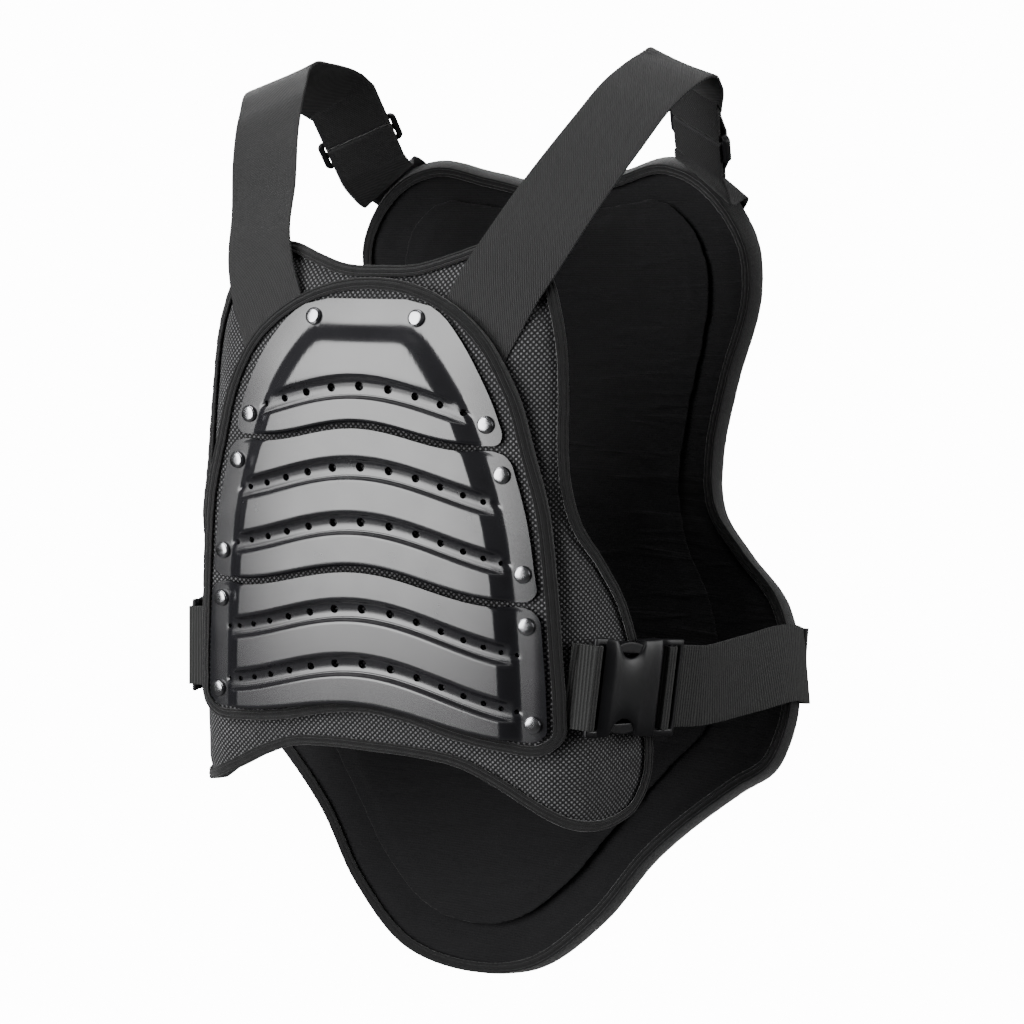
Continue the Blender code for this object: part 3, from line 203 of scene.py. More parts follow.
def front_surface(across, up):
    """The chest: a shallow arc, then a bend and a straight wing at each side."""
    share = up / FRONT_RISE
    start = np.interp(share, BEND_UP, BEND_START) * FRONT_HALF_SPAN
    arc = np.interp(share, BEND_UP, BEND_ARC) * FRONT_HALF_SPAN
    turn = np.radians(np.interp(share, BEND_UP, BEND_TURN) * WING_TURN)
    chest = math.radians(CHEST_TURN)
    side = np.abs(across)
    angle = chest * np.minimum(side, start) / start
    out = start / chest * np.sin(angle)
    back = start / chest * (1 - np.cos(angle))
    bent = chest + (turn - chest) * np.clip(side - start, 0, arc) / arc
    radius = arc / (turn - chest)
    beyond = np.maximum(side - start - arc, 0)
    out = out + radius * (np.sin(bent) - math.sin(chest)) + beyond * np.cos(turn)
    back = back + radius * (math.cos(chest) - np.cos(bent)) + beyond * np.sin(turn)
    lean = np.maximum(0.0, share - LEAN_FROM) / (1 - LEAN_FROM)
    return np.stack([np.copysign(out, across), back + FRONT_BEHIND + CHEST_LEAN * lean**2, up],
                    axis=-1)


def back_surface(across, up):
    """The back: it follows the spine, and its sides curl forward."""
    share = up / np.where(up > 0, BACK_RISE, BACK_DROP)
    back = FRONT_BEHIND + np.interp(share, SPINE_UP, SPINE_DEPTH) * BACK_DEPTH
    curl = np.interp(share, SPINE_UP, SPINE_CURL)
    return np.stack([across, back - curl * (across / 0.1)**2, up], axis=-1)


def lay_on(surface, pattern):
    """Pattern points, each across, up and depth in front, laid on a surface."""
    across, up, depth = np.asarray(pattern, float).T
    step = 0.0005
    along = surface(across + step, up) - surface(across - step, up)
    rising = surface(across, up + step) - surface(across, up - step)
    normal = unit(np.cross(along, rising))
    return surface(across, up) + normal * depth[:, None] - SHOULDERS


BEND_UP, BEND_START, BEND_ARC, BEND_TURN = smooth_line(FRONT_BENDS).T
SPINE_UP, SPINE_DEPTH, SPINE_CURL = smooth_line(BACK_PROFILE)[::-1].T
front_edge = outline(FRONT_OUTLINE, FRONT_HALF_SPAN, FRONT_RISE, FRONT_DROP)
pad_edge = outline(PAD_OUTLINE, PAD_HALF_WIDTH, PAD_RISE, PAD_DROP)
back_edge = outline(BACK_OUTLINE, BACK_HALF_WIDTH, BACK_RISE, BACK_DROP)
back_pad_edge = outline(BACK_PAD_OUTLINE, BACK_PAD_HALF_WIDTH, BACK_PAD_RISE, BACK_PAD_DROP)
print("front outline points:", len(front_edge))

# %% [markdown]
# ## Node groups for the finishes
#
# A finish here is a few procedural patterns mixed together. Patterns that more than one
# finish needs are shader node groups: dots in a diagonal lattice, ribs, and the slight
# unevenness that all cloth and plastic shows. Cloth patterns read the UV map, which holds the
# flat pattern in metres, so that the dots and threads bend with the cloth.

# %% Helpers for node trees
def add_node(tree, kind, values=(), **settings):
    """A new node, with its settings and the values of its unlinked inputs."""
    node = tree.nodes.new(kind)
    for name, value in settings.items():
        setattr(node, name, value)
    for index, value in dict(values).items():
        node.inputs[index].default_value = value
    return node


def fed_node(tree, source, kind, values=(), **settings):
    """A new node whose first input takes a socket."""
    node = add_node(tree, kind, values, **settings)
    tree.links.new(source, node.inputs[0])
    return node


def new_group(name, inputs, outputs):
    """An empty node group. Its sockets are floats, except the one called Vector."""
    group = bpy.data.node_groups.new(name, "ShaderNodeTree")
    for titles, way in ((inputs, "INPUT"), (outputs, "OUTPUT")):
        for title in titles:
            kind = "NodeSocketVector" if title == "Vector" else "NodeSocketFloat"
            group.interface.new_socket(title, in_out=way, socket_type=kind)
    return group, group.nodes.new("NodeGroupInput"), group.nodes.new("NodeGroupOutput")


def math_node(tree, operation, *sources):
    """A Math node whose inputs are sockets or numbers."""
    node = add_node(tree, "ShaderNodeMath", operation=operation)
    for socket, source in zip(node.inputs, sources):
        if isinstance(source, (int, float)):
            socket.default_value = source
        else:
            tree.links.new(source, socket)
    return node.outputs[0]


def weighted(tree, *pairs):
    """The sum of sockets, each times its weight."""
    total = 0.0
    for source, weight in pairs:
        total = math_node(tree, "MULTIPLY_ADD", source, weight, total)
    return total


def mix_colour(tree, factor, low, high):
    """A colour between two, which are sockets or colours."""
    node = add_node(tree, "ShaderNodeMix", data_type="RGBA")
    tree.links.new(factor, node.inputs[0])
    for socket, source in zip(node.inputs[6:8], (low, high)):
        if isinstance(source, tuple):
            socket.default_value = (*source, 1.0)
        else:
            tree.links.new(source, socket)
    return node.outputs[2]


# %% The dotted lattice
def make_dots_group():
    """Round dots on a diagonal lattice: a mask that is 1 on the dots."""
    group, enter, leave = new_group("diagonal_dots", ("Vector", "Pitch", "Size"), ("Dots",))
    turn = fed_node(group, enter.outputs["Vector"], "ShaderNodeVectorRotate",
                    {"Angle": math.radians(45)}, rotation_type="Z_AXIS")
    cells = fed_node(group, turn.outputs[0], "ShaderNodeVectorMath", operation="SCALE")
    group.links.new(math_node(group, "DIVIDE", 1.0, enter.outputs["Pitch"]),
                    cells.inputs["Scale"])
    cell = fed_node(group, cells.outputs[0], "ShaderNodeVectorMath", operation="FRACTION")
    away = fed_node(group, cell.outputs[0], "ShaderNodeVectorMath", {1: (0.5, 0.5, 0.0)},
                    operation="DISTANCE")
    soft = fed_node(group, away.outputs["Value"], "ShaderNodeMapRange", {3: 1.0, 4: 0.0},
                    interpolation_type="SMOOTHSTEP")
    for index, share in ((1, 0.6), (2, 1.5)):
        group.links.new(math_node(group, "MULTIPLY", enter.outputs["Size"], share),
                        soft.inputs[index])
    group.links.new(soft.outputs[0], leave.inputs["Dots"])
    return group


# %% Ribs and twill
def make_ribs_group():
    """Parallel threads in one direction of the pattern, turned by an angle: 1 on each crown."""
    group, enter, leave = new_group("thread_ribs", ("Vector", "Pitch", "Angle"), ("Ribs",))
    turn = fed_node(group, enter.outputs["Vector"], "ShaderNodeVectorRotate",
                    rotation_type="Z_AXIS")
    group.links.new(enter.outputs["Angle"], turn.inputs["Angle"])
    parts = fed_node(group, turn.outputs[0], "ShaderNodeSeparateXYZ")
    along = math_node(group, "DIVIDE", parts.outputs[1], enter.outputs["Pitch"])
    wave = math_node(group, "SINE", math_node(group, "MULTIPLY", along, math.tau))
    group.links.new(math_node(group, "MULTIPLY_ADD", wave, 0.5, 0.5), leave.inputs["Ribs"])
    return group


# %% Unevenness
def make_uneven_group():
    """Slow and fast noise in object space, each from 0 to 1."""
    group, enter, leave = new_group("unevenness", ("Slow Size", "Fast Size"), ("Slow", "Fast"))
    place = add_node(group, "ShaderNodeTexCoord")
    for output, detail in (("Slow", 4.0), ("Fast", 2.0)):
        noise = fed_node(group, place.outputs["Object"], "ShaderNodeTexNoise",
                         {"Detail": detail})
        group.links.new(math_node(group, "DIVIDE", 1.0, enter.outputs[output + " Size"]),
                        noise.inputs["Scale"])
        group.links.new(noise.outputs[0], leave.inputs[output])
    return group


DOTS, RIBS, UNEVEN = make_dots_group(), make_ribs_group(), make_uneven_group()


def place_group(tree, group, values):
    """The node group in a material, reading the UV map where it takes a vector."""
    node = add_node(tree, "ShaderNodeGroup", values, node_tree=group)
    if "Vector" in node.inputs:
        tree.links.new(add_node(tree, "ShaderNodeUVMap").outputs[0], node.inputs["Vector"])
    return node


def ribbed(tree, pitch, degrees=0):
    """Ribs of a pitch in metres, turned by an angle."""
    values = {"Pitch": pitch, "Angle": math.radians(degrees)}
    return place_group(tree, RIBS, values).outputs["Ribs"]


def unevenness(tree, slow, fast):
    """Slow and fast noise whose blotches have the given sizes."""
    node = place_group(tree, UNEVEN, {"Slow Size": slow, "Fast Size": fast})
    return node.outputs["Slow"], node.outputs["Fast"]


# %% [markdown]
# ## The finishes
#
# Nine finishes cover the vest. Each is one material whose Principled shader holds the plain
# numbers, such as sheen, while the patterns feed only colour, roughness and bump.

# %% A start for each finish
def new_finish(name, roughness, sheen=0.0, specular=0.5):
    material = bpy.data.materials.new(name)
    material.use_nodes = True
    tree = material.node_tree
    shader = tree.nodes["Principled BSDF"]
    shader.inputs["Roughness"].default_value = roughness
    shader.inputs["Sheen Weight"].default_value = sheen
    shader.inputs["Sheen Roughness"].default_value = 0.5
    shader.inputs["Specular IOR Level"].default_value = specular
    return material, tree, shader


def tint(tree, shader, factor, low, high):
    """Give the shader a colour between two."""
    tree.links.new(mix_colour(tree, factor, low, high), shader.inputs["Base Color"])


def add_bump(tree, shader, height, distance):
    """Bump from a height that runs from 0 to 1 over a distance in metres."""
    bump = add_node(tree, "ShaderNodeBump", {"Strength": 1.0, "Distance": distance})
    tree.links.new(height, bump.inputs["Height"])
    tree.links.new(bump.outputs[0], shader.inputs["Normal"])


# %% Cloth, tape and webbing
def make_mesh_cloth():
    """Spacer mesh: light dots of yarn over a dark ground."""
    material, tree, shader = new_finish("dotted_mesh_cloth", 0.75, sheen=0.15, specular=0.3)
    dots = place_group(tree, DOTS, {"Pitch": 0.00235, "Size": 0.27}).outputs["Dots"]
    slow, fast = unevenness(tree, 0.03, 0.0006)
    ground = mix_colour(tree, fast, (0.004, 0.004, 0.0043), (0.013, 0.013, 0.014))
    yarn = mix_colour(tree, slow, (0.09, 0.09, 0.093), (0.26, 0.26, 0.27))
    tint(tree, shader, dots, ground, yarn)
    add_bump(tree, shader, weighted(tree, (dots, 1.0), (fast, 0.4)), 0.0006)
    return material


def make_tape():
    """Brushed edge tape, dark and a little hairy."""
    material, tree, shader = new_finish("edge_tape", 0.9, sheen=0.35, specular=0.2)
    fast = unevenness(tree, 0.012, 0.0005)[1]
    tone = weighted(tree, (fast, 0.8), (ribbed(tree, 0.0011, 90), 0.35))
    tint(tree, shader, tone, (0.0032, 0.0032, 0.0034), (0.0125, 0.0125, 0.013))
    add_bump(tree, shader, tone, 0.0004)
    return material


def make_brushed_cloth():
    """Napped knit against the body, black and matte, with soft creases across it."""
    material, tree, shader = new_finish("brushed_cloth", 0.95, sheen=0.10, specular=0.15)
    slow, fast = unevenness(tree, 0.06, 0.0007)
    nap = weighted(tree, (fast, 0.9), (ribbed(tree, 0.0016), 0.3))
    worn = mix_colour(tree, slow, (0.005, 0.005, 0.0055), (0.009, 0.009, 0.0095))
    tint(tree, shader, nap, worn, (0.017, 0.017, 0.018))
    place = add_node(tree, "ShaderNodeTexCoord")
    flat = fed_node(tree, place.outputs["Object"], "ShaderNodeVectorMath",
                    {1: (13.0, 13.0, 85.0)}, operation="MULTIPLY")
    creases = fed_node(tree, flat.outputs[0], "ShaderNodeTexNoise",
                       {"Scale": 1.0, "Detail": 2.0, "Distortion": 0.7})
    fold = fed_node(tree, creases.outputs[0], "ShaderNodeMapRange", {1: 0.44, 2: 0.72},
                    interpolation_type="SMOOTHSTEP")
    add_bump(tree, shader, weighted(tree, (nap, 1.0), (fold.outputs[0], 2.2)), 0.0005)
    return material


def make_webbing(name, low, high):
    """Fine twill: ribs that run slantwise over the webbing."""
    material, tree, shader = new_finish(name, 0.6, sheen=0.12, specular=0.35)
    fast = unevenness(tree, 0.04, 0.0008)[1]
    thread = weighted(tree, (ribbed(tree, 0.0009, -70), 0.3), (ribbed(tree, 0.0013, 55), 0.6))
    tint(tree, shader, weighted(tree, (thread, 1.0), (fast, 0.25)), low, high)
    add_bump(tree, shader, thread, 0.00035)
    return material


def make_elastic():
    """Woven elastic: strong ribs across the band."""
    material, tree, shader = new_finish("ribbed_elastic", 0.7, sheen=0.1, specular=0.3)
    fast = unevenness(tree, 0.03, 0.0008)[1]
    tone = weighted(tree, (ribbed(tree, 0.0021), 0.75), (ribbed(tree, 0.0009, 90), 0.25))
    shade = weighted(tree, (tone, 1.0), (fast, 0.2))
    tint(tree, shader, shade, (0.006, 0.006, 0.006), (0.040, 0.041, 0.040))
    add_bump(tree, shader, tone, 0.0005)
    return material


# %% Plastic and metal
def vary_gloss(tree, shader, factor, least, most):
    """Let the roughness follow a factor between two values."""
    gloss = fed_node(tree, factor, "ShaderNodeMapRange", {3: least, 4: most})
    tree.links.new(gloss.outputs[0], shader.inputs["Roughness"])


def make_plastic(name, colour, roughness, grain, specular):
    """Moulded plastic with slightly uneven gloss and a grain of the given depth."""
    material, tree, shader = new_finish(name, roughness, specular=specular)
    slow, fast = unevenness(tree, 0.02, 0.0007)
    tint(tree, shader, slow, colour, tuple(value * 1.35 for value in colour))
    vary_gloss(tree, shader, slow, roughness * 0.85, roughness * 1.2)
    add_bump(tree, shader, fast, grain)
    return material


def make_rivet_metal():
    """Polished black nickel with faint scuffs."""
    material, tree, shader = new_finish("black_nickel", 0.16)
    shader.inputs["Metallic"].default_value = 1.0
    slow = unevenness(tree, 0.004, 0.0006)[0]
    tint(tree, shader, slow, (0.30, 0.30, 0.31), (0.50, 0.50, 0.52))
    vary_gloss(tree, shader, slow, 0.10, 0.28)
    return material


FINISHES = {
    "mesh_cloth": make_mesh_cloth(),
    "tape": make_tape(),
    "brushed_cloth": make_brushed_cloth(),
    "webbing": make_webbing("charcoal_webbing", (0.005, 0.005, 0.005), (0.023, 0.023, 0.0235)),
    # a darker copy of the charcoal webbing, for strap faces behind or under the crest: painted
    # shade
    "painted_shade_webbing": make_webbing("painted_shade_webbing", (0.004, 0.004, 0.004), (0.015, 0.015, 0.016)),
    "elastic": make_elastic(),
    "plate_plastic": make_plastic("plate_plastic", (0.010, 0.010, 0.012), 0.25, 0.000003, 1.0),
    "buckle_plastic": make_plastic("buckle_plastic", (0.006, 0.006, 0.007), 0.38, 0.00004, 0.35),
    "rivet_metal": make_rivet_metal(),
}
print("finishes:", len(FINISHES))

# %% [markdown]
# ## Working with pieces
#
# Operators act on whatever is selected, and loading the frame leaves its nodes selected, so
# each piece starts from a clean selection. A finished piece keeps its place in its mesh, rides
# on the vest's one body, and stands for the plain solid that it hides.

# %% Helpers for pieces
def fresh():
    """Leave edit mode and deselect everything."""
    if bpy.context.object and bpy.context.object.mode != "OBJECT":
        bpy.ops.object.mode_set(mode="OBJECT")
    bpy.ops.object.select_all(action="DESELECT")


def choose(piece):
    fresh()
    piece.select_set(True)
    bpy.context.view_layer.objects.active = piece


def coordinates(piece):
    flat = np.zeros(len(piece.data.vertices) * 3)
    piece.data.vertices.foreach_get("co", flat)
    return flat.reshape(-1, 3)


def put_at(piece, points):
    piece.data.vertices.foreach_set("co", np.asarray(points, float).ravel())
    piece.data.update()


def apply_modifier(piece, kind, **settings):
    """Add a modifier, set it and apply it."""
    choose(piece)
    modifier = piece.modifiers.new(kind.lower(), kind)
    for name, value in settings.items():
        setattr(modifier, name, value)
    bpy.ops.object.modifier_apply(modifier=modifier.name)


def round_edges(piece, width, degrees=50, segments=3):
    """Round the edges that are sharper than an angle."""
    apply_modifier(piece, "BEVEL", width=width, segments=segments, limit_method="ANGLE",
                   angle_limit=math.radians(degrees))


def edit_all(piece):
    """Go into edit mode with the whole mesh selected."""
    choose(piece)
    bpy.ops.object.mode_set(mode="EDIT")
    bpy.ops.mesh.select_all(action="SELECT")


def leave_edit():
    bpy.ops.object.mode_set(mode="OBJECT")


def face_outward(piece):
    """Merge doubles and turn all the faces outward."""
    edit_all(piece)
    bpy.ops.mesh.remove_doubles(threshold=1e-6)
    bpy.ops.mesh.normals_make_consistent(inside=False)
    leave_edit()


def unit_grid(columns, rows):
    """A grid of so many cells, with the column and the row of each of its vertices."""
    fresh()
    bpy.ops.mesh.primitive_grid_add(x_subdivisions=columns, y_subdivisions=rows, size=2.0)
    piece = bpy.context.object
    shares = (coordinates(piece)[:, :2] + 1) / 2
    column, row = np.rint(shares * (columns, rows)).astype(int).T
    return piece, column, row


def delete_faces(piece, chosen):
    """Delete the faces whose flags are set."""
    choose(piece)
    bpy.ops.object.mode_set(mode="EDIT")
    bpy.ops.mesh.select_all(action="DESELECT")
    leave_edit()
    for face, gone in zip(piece.data.polygons, chosen):
        face.select = bool(gone)
    bpy.ops.object.mode_set(mode="EDIT")
    bpy.ops.mesh.delete(type="FACE")
    leave_edit()


def write_uv(piece, corners):
    """The piece's UV map from a value for each of its vertices."""
    layer = piece.data.uv_layers.get("UVMap") or piece.data.uv_layers.new(name="UVMap")
    where = np.zeros(len(piece.data.loops), int)
    piece.data.loops.foreach_get("vertex_index", where)
    layer.data.foreach_set("uv", np.asarray(corners, float)[where].ravel())


def keep_piece(piece, name, slot, nodes, finish=None, angle=None):
    """Name a finished piece, give it its finish, and hand it to the frame."""
    piece.name = piece.data.name = name
    piece.data.materials.clear()
    piece.data.materials.append(FINISHES[finish or slot])
    choose(piece)
    if angle is None:
        bpy.ops.object.shade_smooth()
    else:
        bpy.ops.object.shade_smooth_by_angle(angle=math.radians(angle))
    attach(piece, "root")
    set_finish(piece, slot)
    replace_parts(piece, *nodes)
    return piece


def left_copy(piece, name, nodes):
    """The mirror image of a piece on the right, with its own mesh and finishes."""
    choose(piece)
    bpy.ops.object.duplicate(linked=False)
    copy = bpy.context.object
    copy.name = copy.data.name = name
    copy.data.transform(Matrix.Scale(-1.0, 4, (1.0, 0.0, 0.0)))
    edit_all(copy)
    bpy.ops.mesh.normals_make_consistent(inside=False)
    leave_edit()
    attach(copy, "root")
    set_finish(copy, piece["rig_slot"])
    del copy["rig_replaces"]
    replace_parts(copy, *nodes)
    return copy


def keep_pair(piece, name, slot, node, **looks):
    """Keep a finished piece on the right and its mirror image on the left."""
    right = keep_piece(piece, name + "_right", slot, [node + "_right"], **looks)
    left_copy(right, name + "_left", [node + "_left"])


# %% [markdown]
# ## Padded panels
#
# Each panel is foam between two layers of cloth, sewn flat along its edge. It is cut as a
# circle whose corners are moved to the outline, extruded to its thickness and remeshed to an
# even grain. A short cloth simulation, pinned along the seam, then lets the loose cloth puff
# and wrinkle over the foam. The chest pad's cloth is drawn taut under the plates, so that one
# has no simulation. Last, the flat pad is laid on the body's surface.

# %% Cut, puff and bend a pad
def cut_flat(edge, back, front, grain):
    """A flat pad from depth back to depth front, as an even mesh."""
    fresh()
    bpy.ops.mesh.primitive_circle_add(vertices=len(edge), radius=0.1, fill_type="NGON")
    piece = bpy.context.object
    put_at(piece, [(across, -back, up) for across, up in edge])
    edit_all(piece)
    bpy.ops.mesh.extrude_region_move(TRANSFORM_OT_translate={"value": (0, back - front, 0)})
    leave_edit()
    face_outward(piece)
    apply_modifier(piece, "REMESH", mode="VOXEL", voxel_size=grain)
    return piece


def distance_from(edge, points):
    """How far each pattern point lies from a closed outline."""
    best = np.full(len(points), np.inf)
    for start, end in zip(edge, np.roll(edge, -1, axis=0)):
        way = end - start
        share = np.clip((points - start) @ way / (way @ way), 0, 1)
        best = np.minimum(best, np.linalg.norm(points - start - share[:, None] * way, axis=1))
    return best


def soft_step(values, low, high):
    share = np.clip((values - low) / (high - low), 0, 1)
    return share * share * (3 - 2 * share)


def puff(piece, held, slack, most):
    """Let the cloth of a pad move under pressure, held where the mask is 1."""
    if not most:
        return
    rest = coordinates(piece)
    seam = piece.vertex_groups.new(name="seam")
    for index in np.flatnonzero(held > 0.01):
        seam.add([int(index)], float(held[index]), "REPLACE")
    choose(piece)
    cloth = piece.modifiers.new("loose_cloth", "CLOTH")
    cloth.settings.vertex_group_mass = "seam"
    cloth.settings.use_pressure = True
    cloth.settings.uniform_pressure_force = PUFF_PRESSURE
    cloth.settings.shrink_min = -slack
    cloth.settings.effector_weights.gravity = 0
    cloth.settings.quality = 4
    cloth.point_cache.frame_start = 1
    cloth.point_cache.frame_end = SIM_FRAMES
    for step in range(1, SIM_FRAMES + 1):
        bpy.context.scene.frame_set(step)
    bpy.ops.object.modifier_apply(modifier=cloth.name)
    bpy.context.scene.frame_set(1)
    moved = coordinates(piece) - rest
    length = np.linalg.norm(moved, axis=1)[:, None]
    put_at(piece, rest + moved * most / (most + length))
    piece.vertex_groups.clear()
    print("cloth moved up to", round(float(length.max()), 4))


def make_pad(edge, back, front, surface, grain, slack, crown, sink, most):
    """A pad of an outline, sunk at its sewn edge and crowned inside it."""
    piece = cut_flat(edge, back, front, grain)
    inside = distance_from(edge, coordinates(piece)[:, [0, 2]])
    puff(piece, 1 - soft_step(inside, *HELD_BAND), slack, most)
    if grain > COARSE_GRAIN:
        apply_modifier(piece, "SUBSURF", levels=1, render_levels=1)
    points = coordinates(piece)
    flat, depth = points[:, [0, 2]], -points[:, 1]
    write_uv(piece, flat)
    rise = soft_step(distance_from(edge, flat), *RISE_BAND)
    middle = (back + front) / 2
    side = np.clip((depth - middle) / (front - middle), -1, 1)
    depth = depth + (crown * rise - sink * (1 - rise)) * side
    put_at(piece, lay_on(surface, np.column_stack([flat, depth])))
    return piece


SIM_FRAMES, PUFF_PRESSURE = 20, 0.4
SEAM_WIDTH = 0.0065
HELD_BAND = (SEAM_WIDTH * 0.6, SEAM_WIDTH * 1.3)    # where the seam's hold on the cloth ends
RISE_BAND = (SEAM_WIDTH * 0.5, SEAM_WIDTH * 2.2)    # where the pad rises to its crown
COARSE_GRAIN = 0.003        # a pad of a coarser grain is subdivided after it is puffed
under_tape = TAPE_THICK + SEAM_GAP

# %% The front panel and the chest pad
front_cloth = keep_piece(
    make_pad(inset(front_edge, under_tape), -FRONT_THICK, 0.0, front_surface,
             grain=0.0045, slack=0.01, crown=0.0004, sink=0.0009, most=0.0008),
    "front_panel_cloth", "mesh_cloth", ["front_panel"])

chest_cloth = keep_piece(
    make_pad(inset(pad_edge, under_tape), PAD_BACK, PAD_BACK + PAD_THICK, front_surface,
             grain=0.0022, slack=0.0, crown=0.0, sink=0.0004, most=0.0),
    "chest_pad_cloth", "mesh_cloth", ["chest_pad"])
print("front panel faces:", len(front_cloth.data.polygons))

# %% The back panel and its inner pad
back_cloth = keep_piece(
    make_pad(inset(back_edge, under_tape), -BACK_THICK, 0.0, back_surface,
             grain=0.0050, slack=0.025, crown=0.0003, sink=0.0012, most=0.0016),
    "back_panel_cloth", "brushed_cloth", ["back_panel"])

inner_pad = keep_piece(
    make_pad(back_pad_edge, BACK_PAD_LIFT, BACK_PAD_LIFT + BACK_PAD_THICK, back_surface,
             grain=0.0038, slack=0.02, crown=0.0, sink=0.0025, most=0.0012),
    "back_pad_cloth", "brushed_cloth", ["back_pad"])
print("back panel faces:", len(back_cloth.data.polygons))

# %% [markdown]
# ## Edge tape
#
# The raw edges are closed with tape folded round them and sewn through. Seen from its end the
# tape is a flat C. A grid has a row for each step along the edge and a column for each point of
# the C, and where its borders meet they are merged into one closed tube. Two shallow grooves
# show where the seams pull the tape down, and it puckers a little between stitches.

# %% Fold tape round an edge
TAPE_GROOVES = (0.0019, 0.0047)     # inward from the edge
GROOVE_DEPTH, GROOVE_WIDTH, TAPE_BULGE = 0.00045, 0.00035, 0.0003
TAPE_STEP = 0.0032
FACE_POINTS, FACE_TO, RIM_BULGE = 18, 0.0004, 0.0003
PUCKER, PUCKER_WAVES = 0.00012, ((450, 0.0), (910, 1.3))


def tape_profile(back, front):
    """The C as points, each its distance inward and its depth, round the tape once."""
    over, under = front + SEAM_GAP, back - SEAM_GAP
    face = np.linspace(TAPE_FACE, FACE_TO, FACE_POINTS)
    bulge = TAPE_BULGE * np.sin(math.pi * face / TAPE_FACE)
    for groove in TAPE_GROOVES:
        bulge = bulge - GROOVE_DEPTH * np.exp(-((face - groove) / GROOVE_WIDTH)**2)
    top = np.stack([face, over + TAPE_THICK + bulge], axis=1)
    low = np.stack([face, under - TAPE_THICK - bulge], axis=1)[::-1]
    rim = [(0.0, over + TAPE_THICK * 0.5), (-RIM_BULGE, (over + under) / 2),
           (0.0, under - TAPE_THICK * 0.5)]
    inner = [(TAPE_FACE, under), (TAPE_THICK, under), (TAPE_THICK, over), (TAPE_FACE, over)]
    return np.vstack([top, rim, low, inner])


def fold_tape(edge, back, front, surface):
    """Tape round an outline, over cloth that lies between two depths."""
    ring = evenly(edge, TAPE_STEP, closed=True)
    profile = tape_profile(back, front)
    piece, place, stop = unit_grid(len(profile), len(ring))
    tape_run = run_along(profile)
    tape_run = np.append(tape_run, tape_run[-1] + TAPE_THICK)
    write_uv(piece, np.stack([tape_run[place], stop * TAPE_STEP], axis=1))
    place, stop = place % len(profile), stop % len(ring)
    loops = np.array([inset(ring, distance) for distance, _ in profile])
    depth = profile[place, 1]
    waves = sum(np.sin(stop * TAPE_STEP * rate + start) for rate, start in PUCKER_WAVES)
    outside = place < 2 * FACE_POINTS + 3       # not on the four points inside the fold
    pucker = PUCKER * waves * outside
    depth = depth + pucker * np.sign(depth - (back + front) / 2)
    put_at(piece, lay_on(surface, np.column_stack([loops[place, stop], depth])))
    face_outward(piece)
    return piece


keep_piece(fold_tape(front_edge, -FRONT_THICK, 0.0, front_surface),
           "front_panel_tape", "tape", ["front_binding"])
keep_piece(fold_tape(pad_edge, PAD_BACK, PAD_BACK + PAD_THICK, front_surface),
           "chest_pad_tape", "tape", ["chest_binding"])
keep_piece(fold_tape(back_edge, -BACK_THICK, 0.0, back_surface),
           "back_panel_tape", "tape", ["back_binding"])

# %% [markdown]
# ## Chest plates
#
# Three thin plates are moulded with a flat flange, a sloping shoulder and a raised field. The
# field steps down over each row of vents, like the slats of a louvre, and the vents are
# pierced along a low bead under each step. A grid is laid to the plate's shape row by row,
# the vents are opened in that sheet, and a Solidify modifier then gives it its wall.

# %% Measures of the plates
PLATE_THICK = 0.0023
PLATE_HALF_WIDTH, PLATE_RISE, PLATE_DROP = 0.1145, 0.1285, 0.112
PLATE_JOIN, PLATE_CORNER = 0.003, 0.009
FLANGE_WIDTH, SHOULDER_WIDTH, FIELD_HEIGHT = 0.014, 0.011, 0.006
ROW_SINK, ROW_REACH = 0.021, 0.112
HOLE_RADIUS, HOLE_SHRINK, HOLE_PITCH, HOLE_CREEP = 0.0028, 0.07, 0.0188, 0.0008
PLATE_SIDE = (
    # across, up
    (0.224, 1.000), (0.310, 0.988), (0.412, 0.938), (0.533, 0.825), (0.633, 0.700),
    (0.712, 0.575), (0.769, 0.448), (0.843, 0.255), (0.904, 0.060), (0.943, -0.190),
    (0.969, -0.450), (0.991, -0.800), (1.000, -1.500),
)
EDGE_ROWS = (
    # up, sink as a share of ROW_SINK, reach as a share of ROW_REACH
    (0.461, 0.50, 0.62), (-0.240, 0.69, 0.80), (-1.000, 0.60, 0.86),
)
HOLE_ROWS = (
    # plate, up, holes on each side of the middle one
    (0, 0.630, 4), (1, 0.257, 5), (1, 0.000, 6), (2, -0.470, 7), (2, -0.770, 7),
)
STEP_SHAPE = (
    # below the line of holes, height as a share of the step
    (-0.0072, 0.00), (-0.0066, -0.05), (-0.0058, -0.18), (-0.0036, -0.78), (-0.0028, -0.87),
    (-0.0010, -0.95), (0.0008, -1.00), (0.0028, -1.00), (0.0046, -0.93), (0.0052, -0.95),
    (0.0058, -0.84), (0.0067, -0.12), (0.0074, 0.00),
)
STEP_DEPTH = 0.0044
DIMPLE_IN, DIMPLE_RADIUS, DIMPLE_DEPTH = 0.0018, 0.0016, 0.0011
ROLL_WIDTH = 0.0030         # how far up a plate's lower edge is rolled back
ROLL_ROWS = (1.0, 0.8, 0.6, 0.42, 0.27, 0.15, 0.06)     # of the grid, in shares of that


def row_line(up, sink, reach):
    """A row's height at each distance from the middle."""
    def height(across):
        share = np.minimum(np.abs(across) / (reach * ROW_REACH), 1.0)
        return up - sink * ROW_SINK * (1 - np.cos(math.pi * share)) / 2
    return height


def plate_height(share):
    return share * (PLATE_RISE if share > 0 else PLATE_DROP)


def hole_places(number):
    """Each vent of a plate: its place and its radius."""
    for plate, share, count in HOLE_ROWS:
        if plate == number:
            line = row_line(plate_height(share), 1.0, 1.0)
            for place in range(-count, count + 1):
                step = abs(place)
                across = math.copysign(HOLE_PITCH * step - HOLE_CREEP * step * (step - 1), place)
                yield across, float(line(across)), HOLE_RADIUS * (1 - HOLE_SHRINK * step)


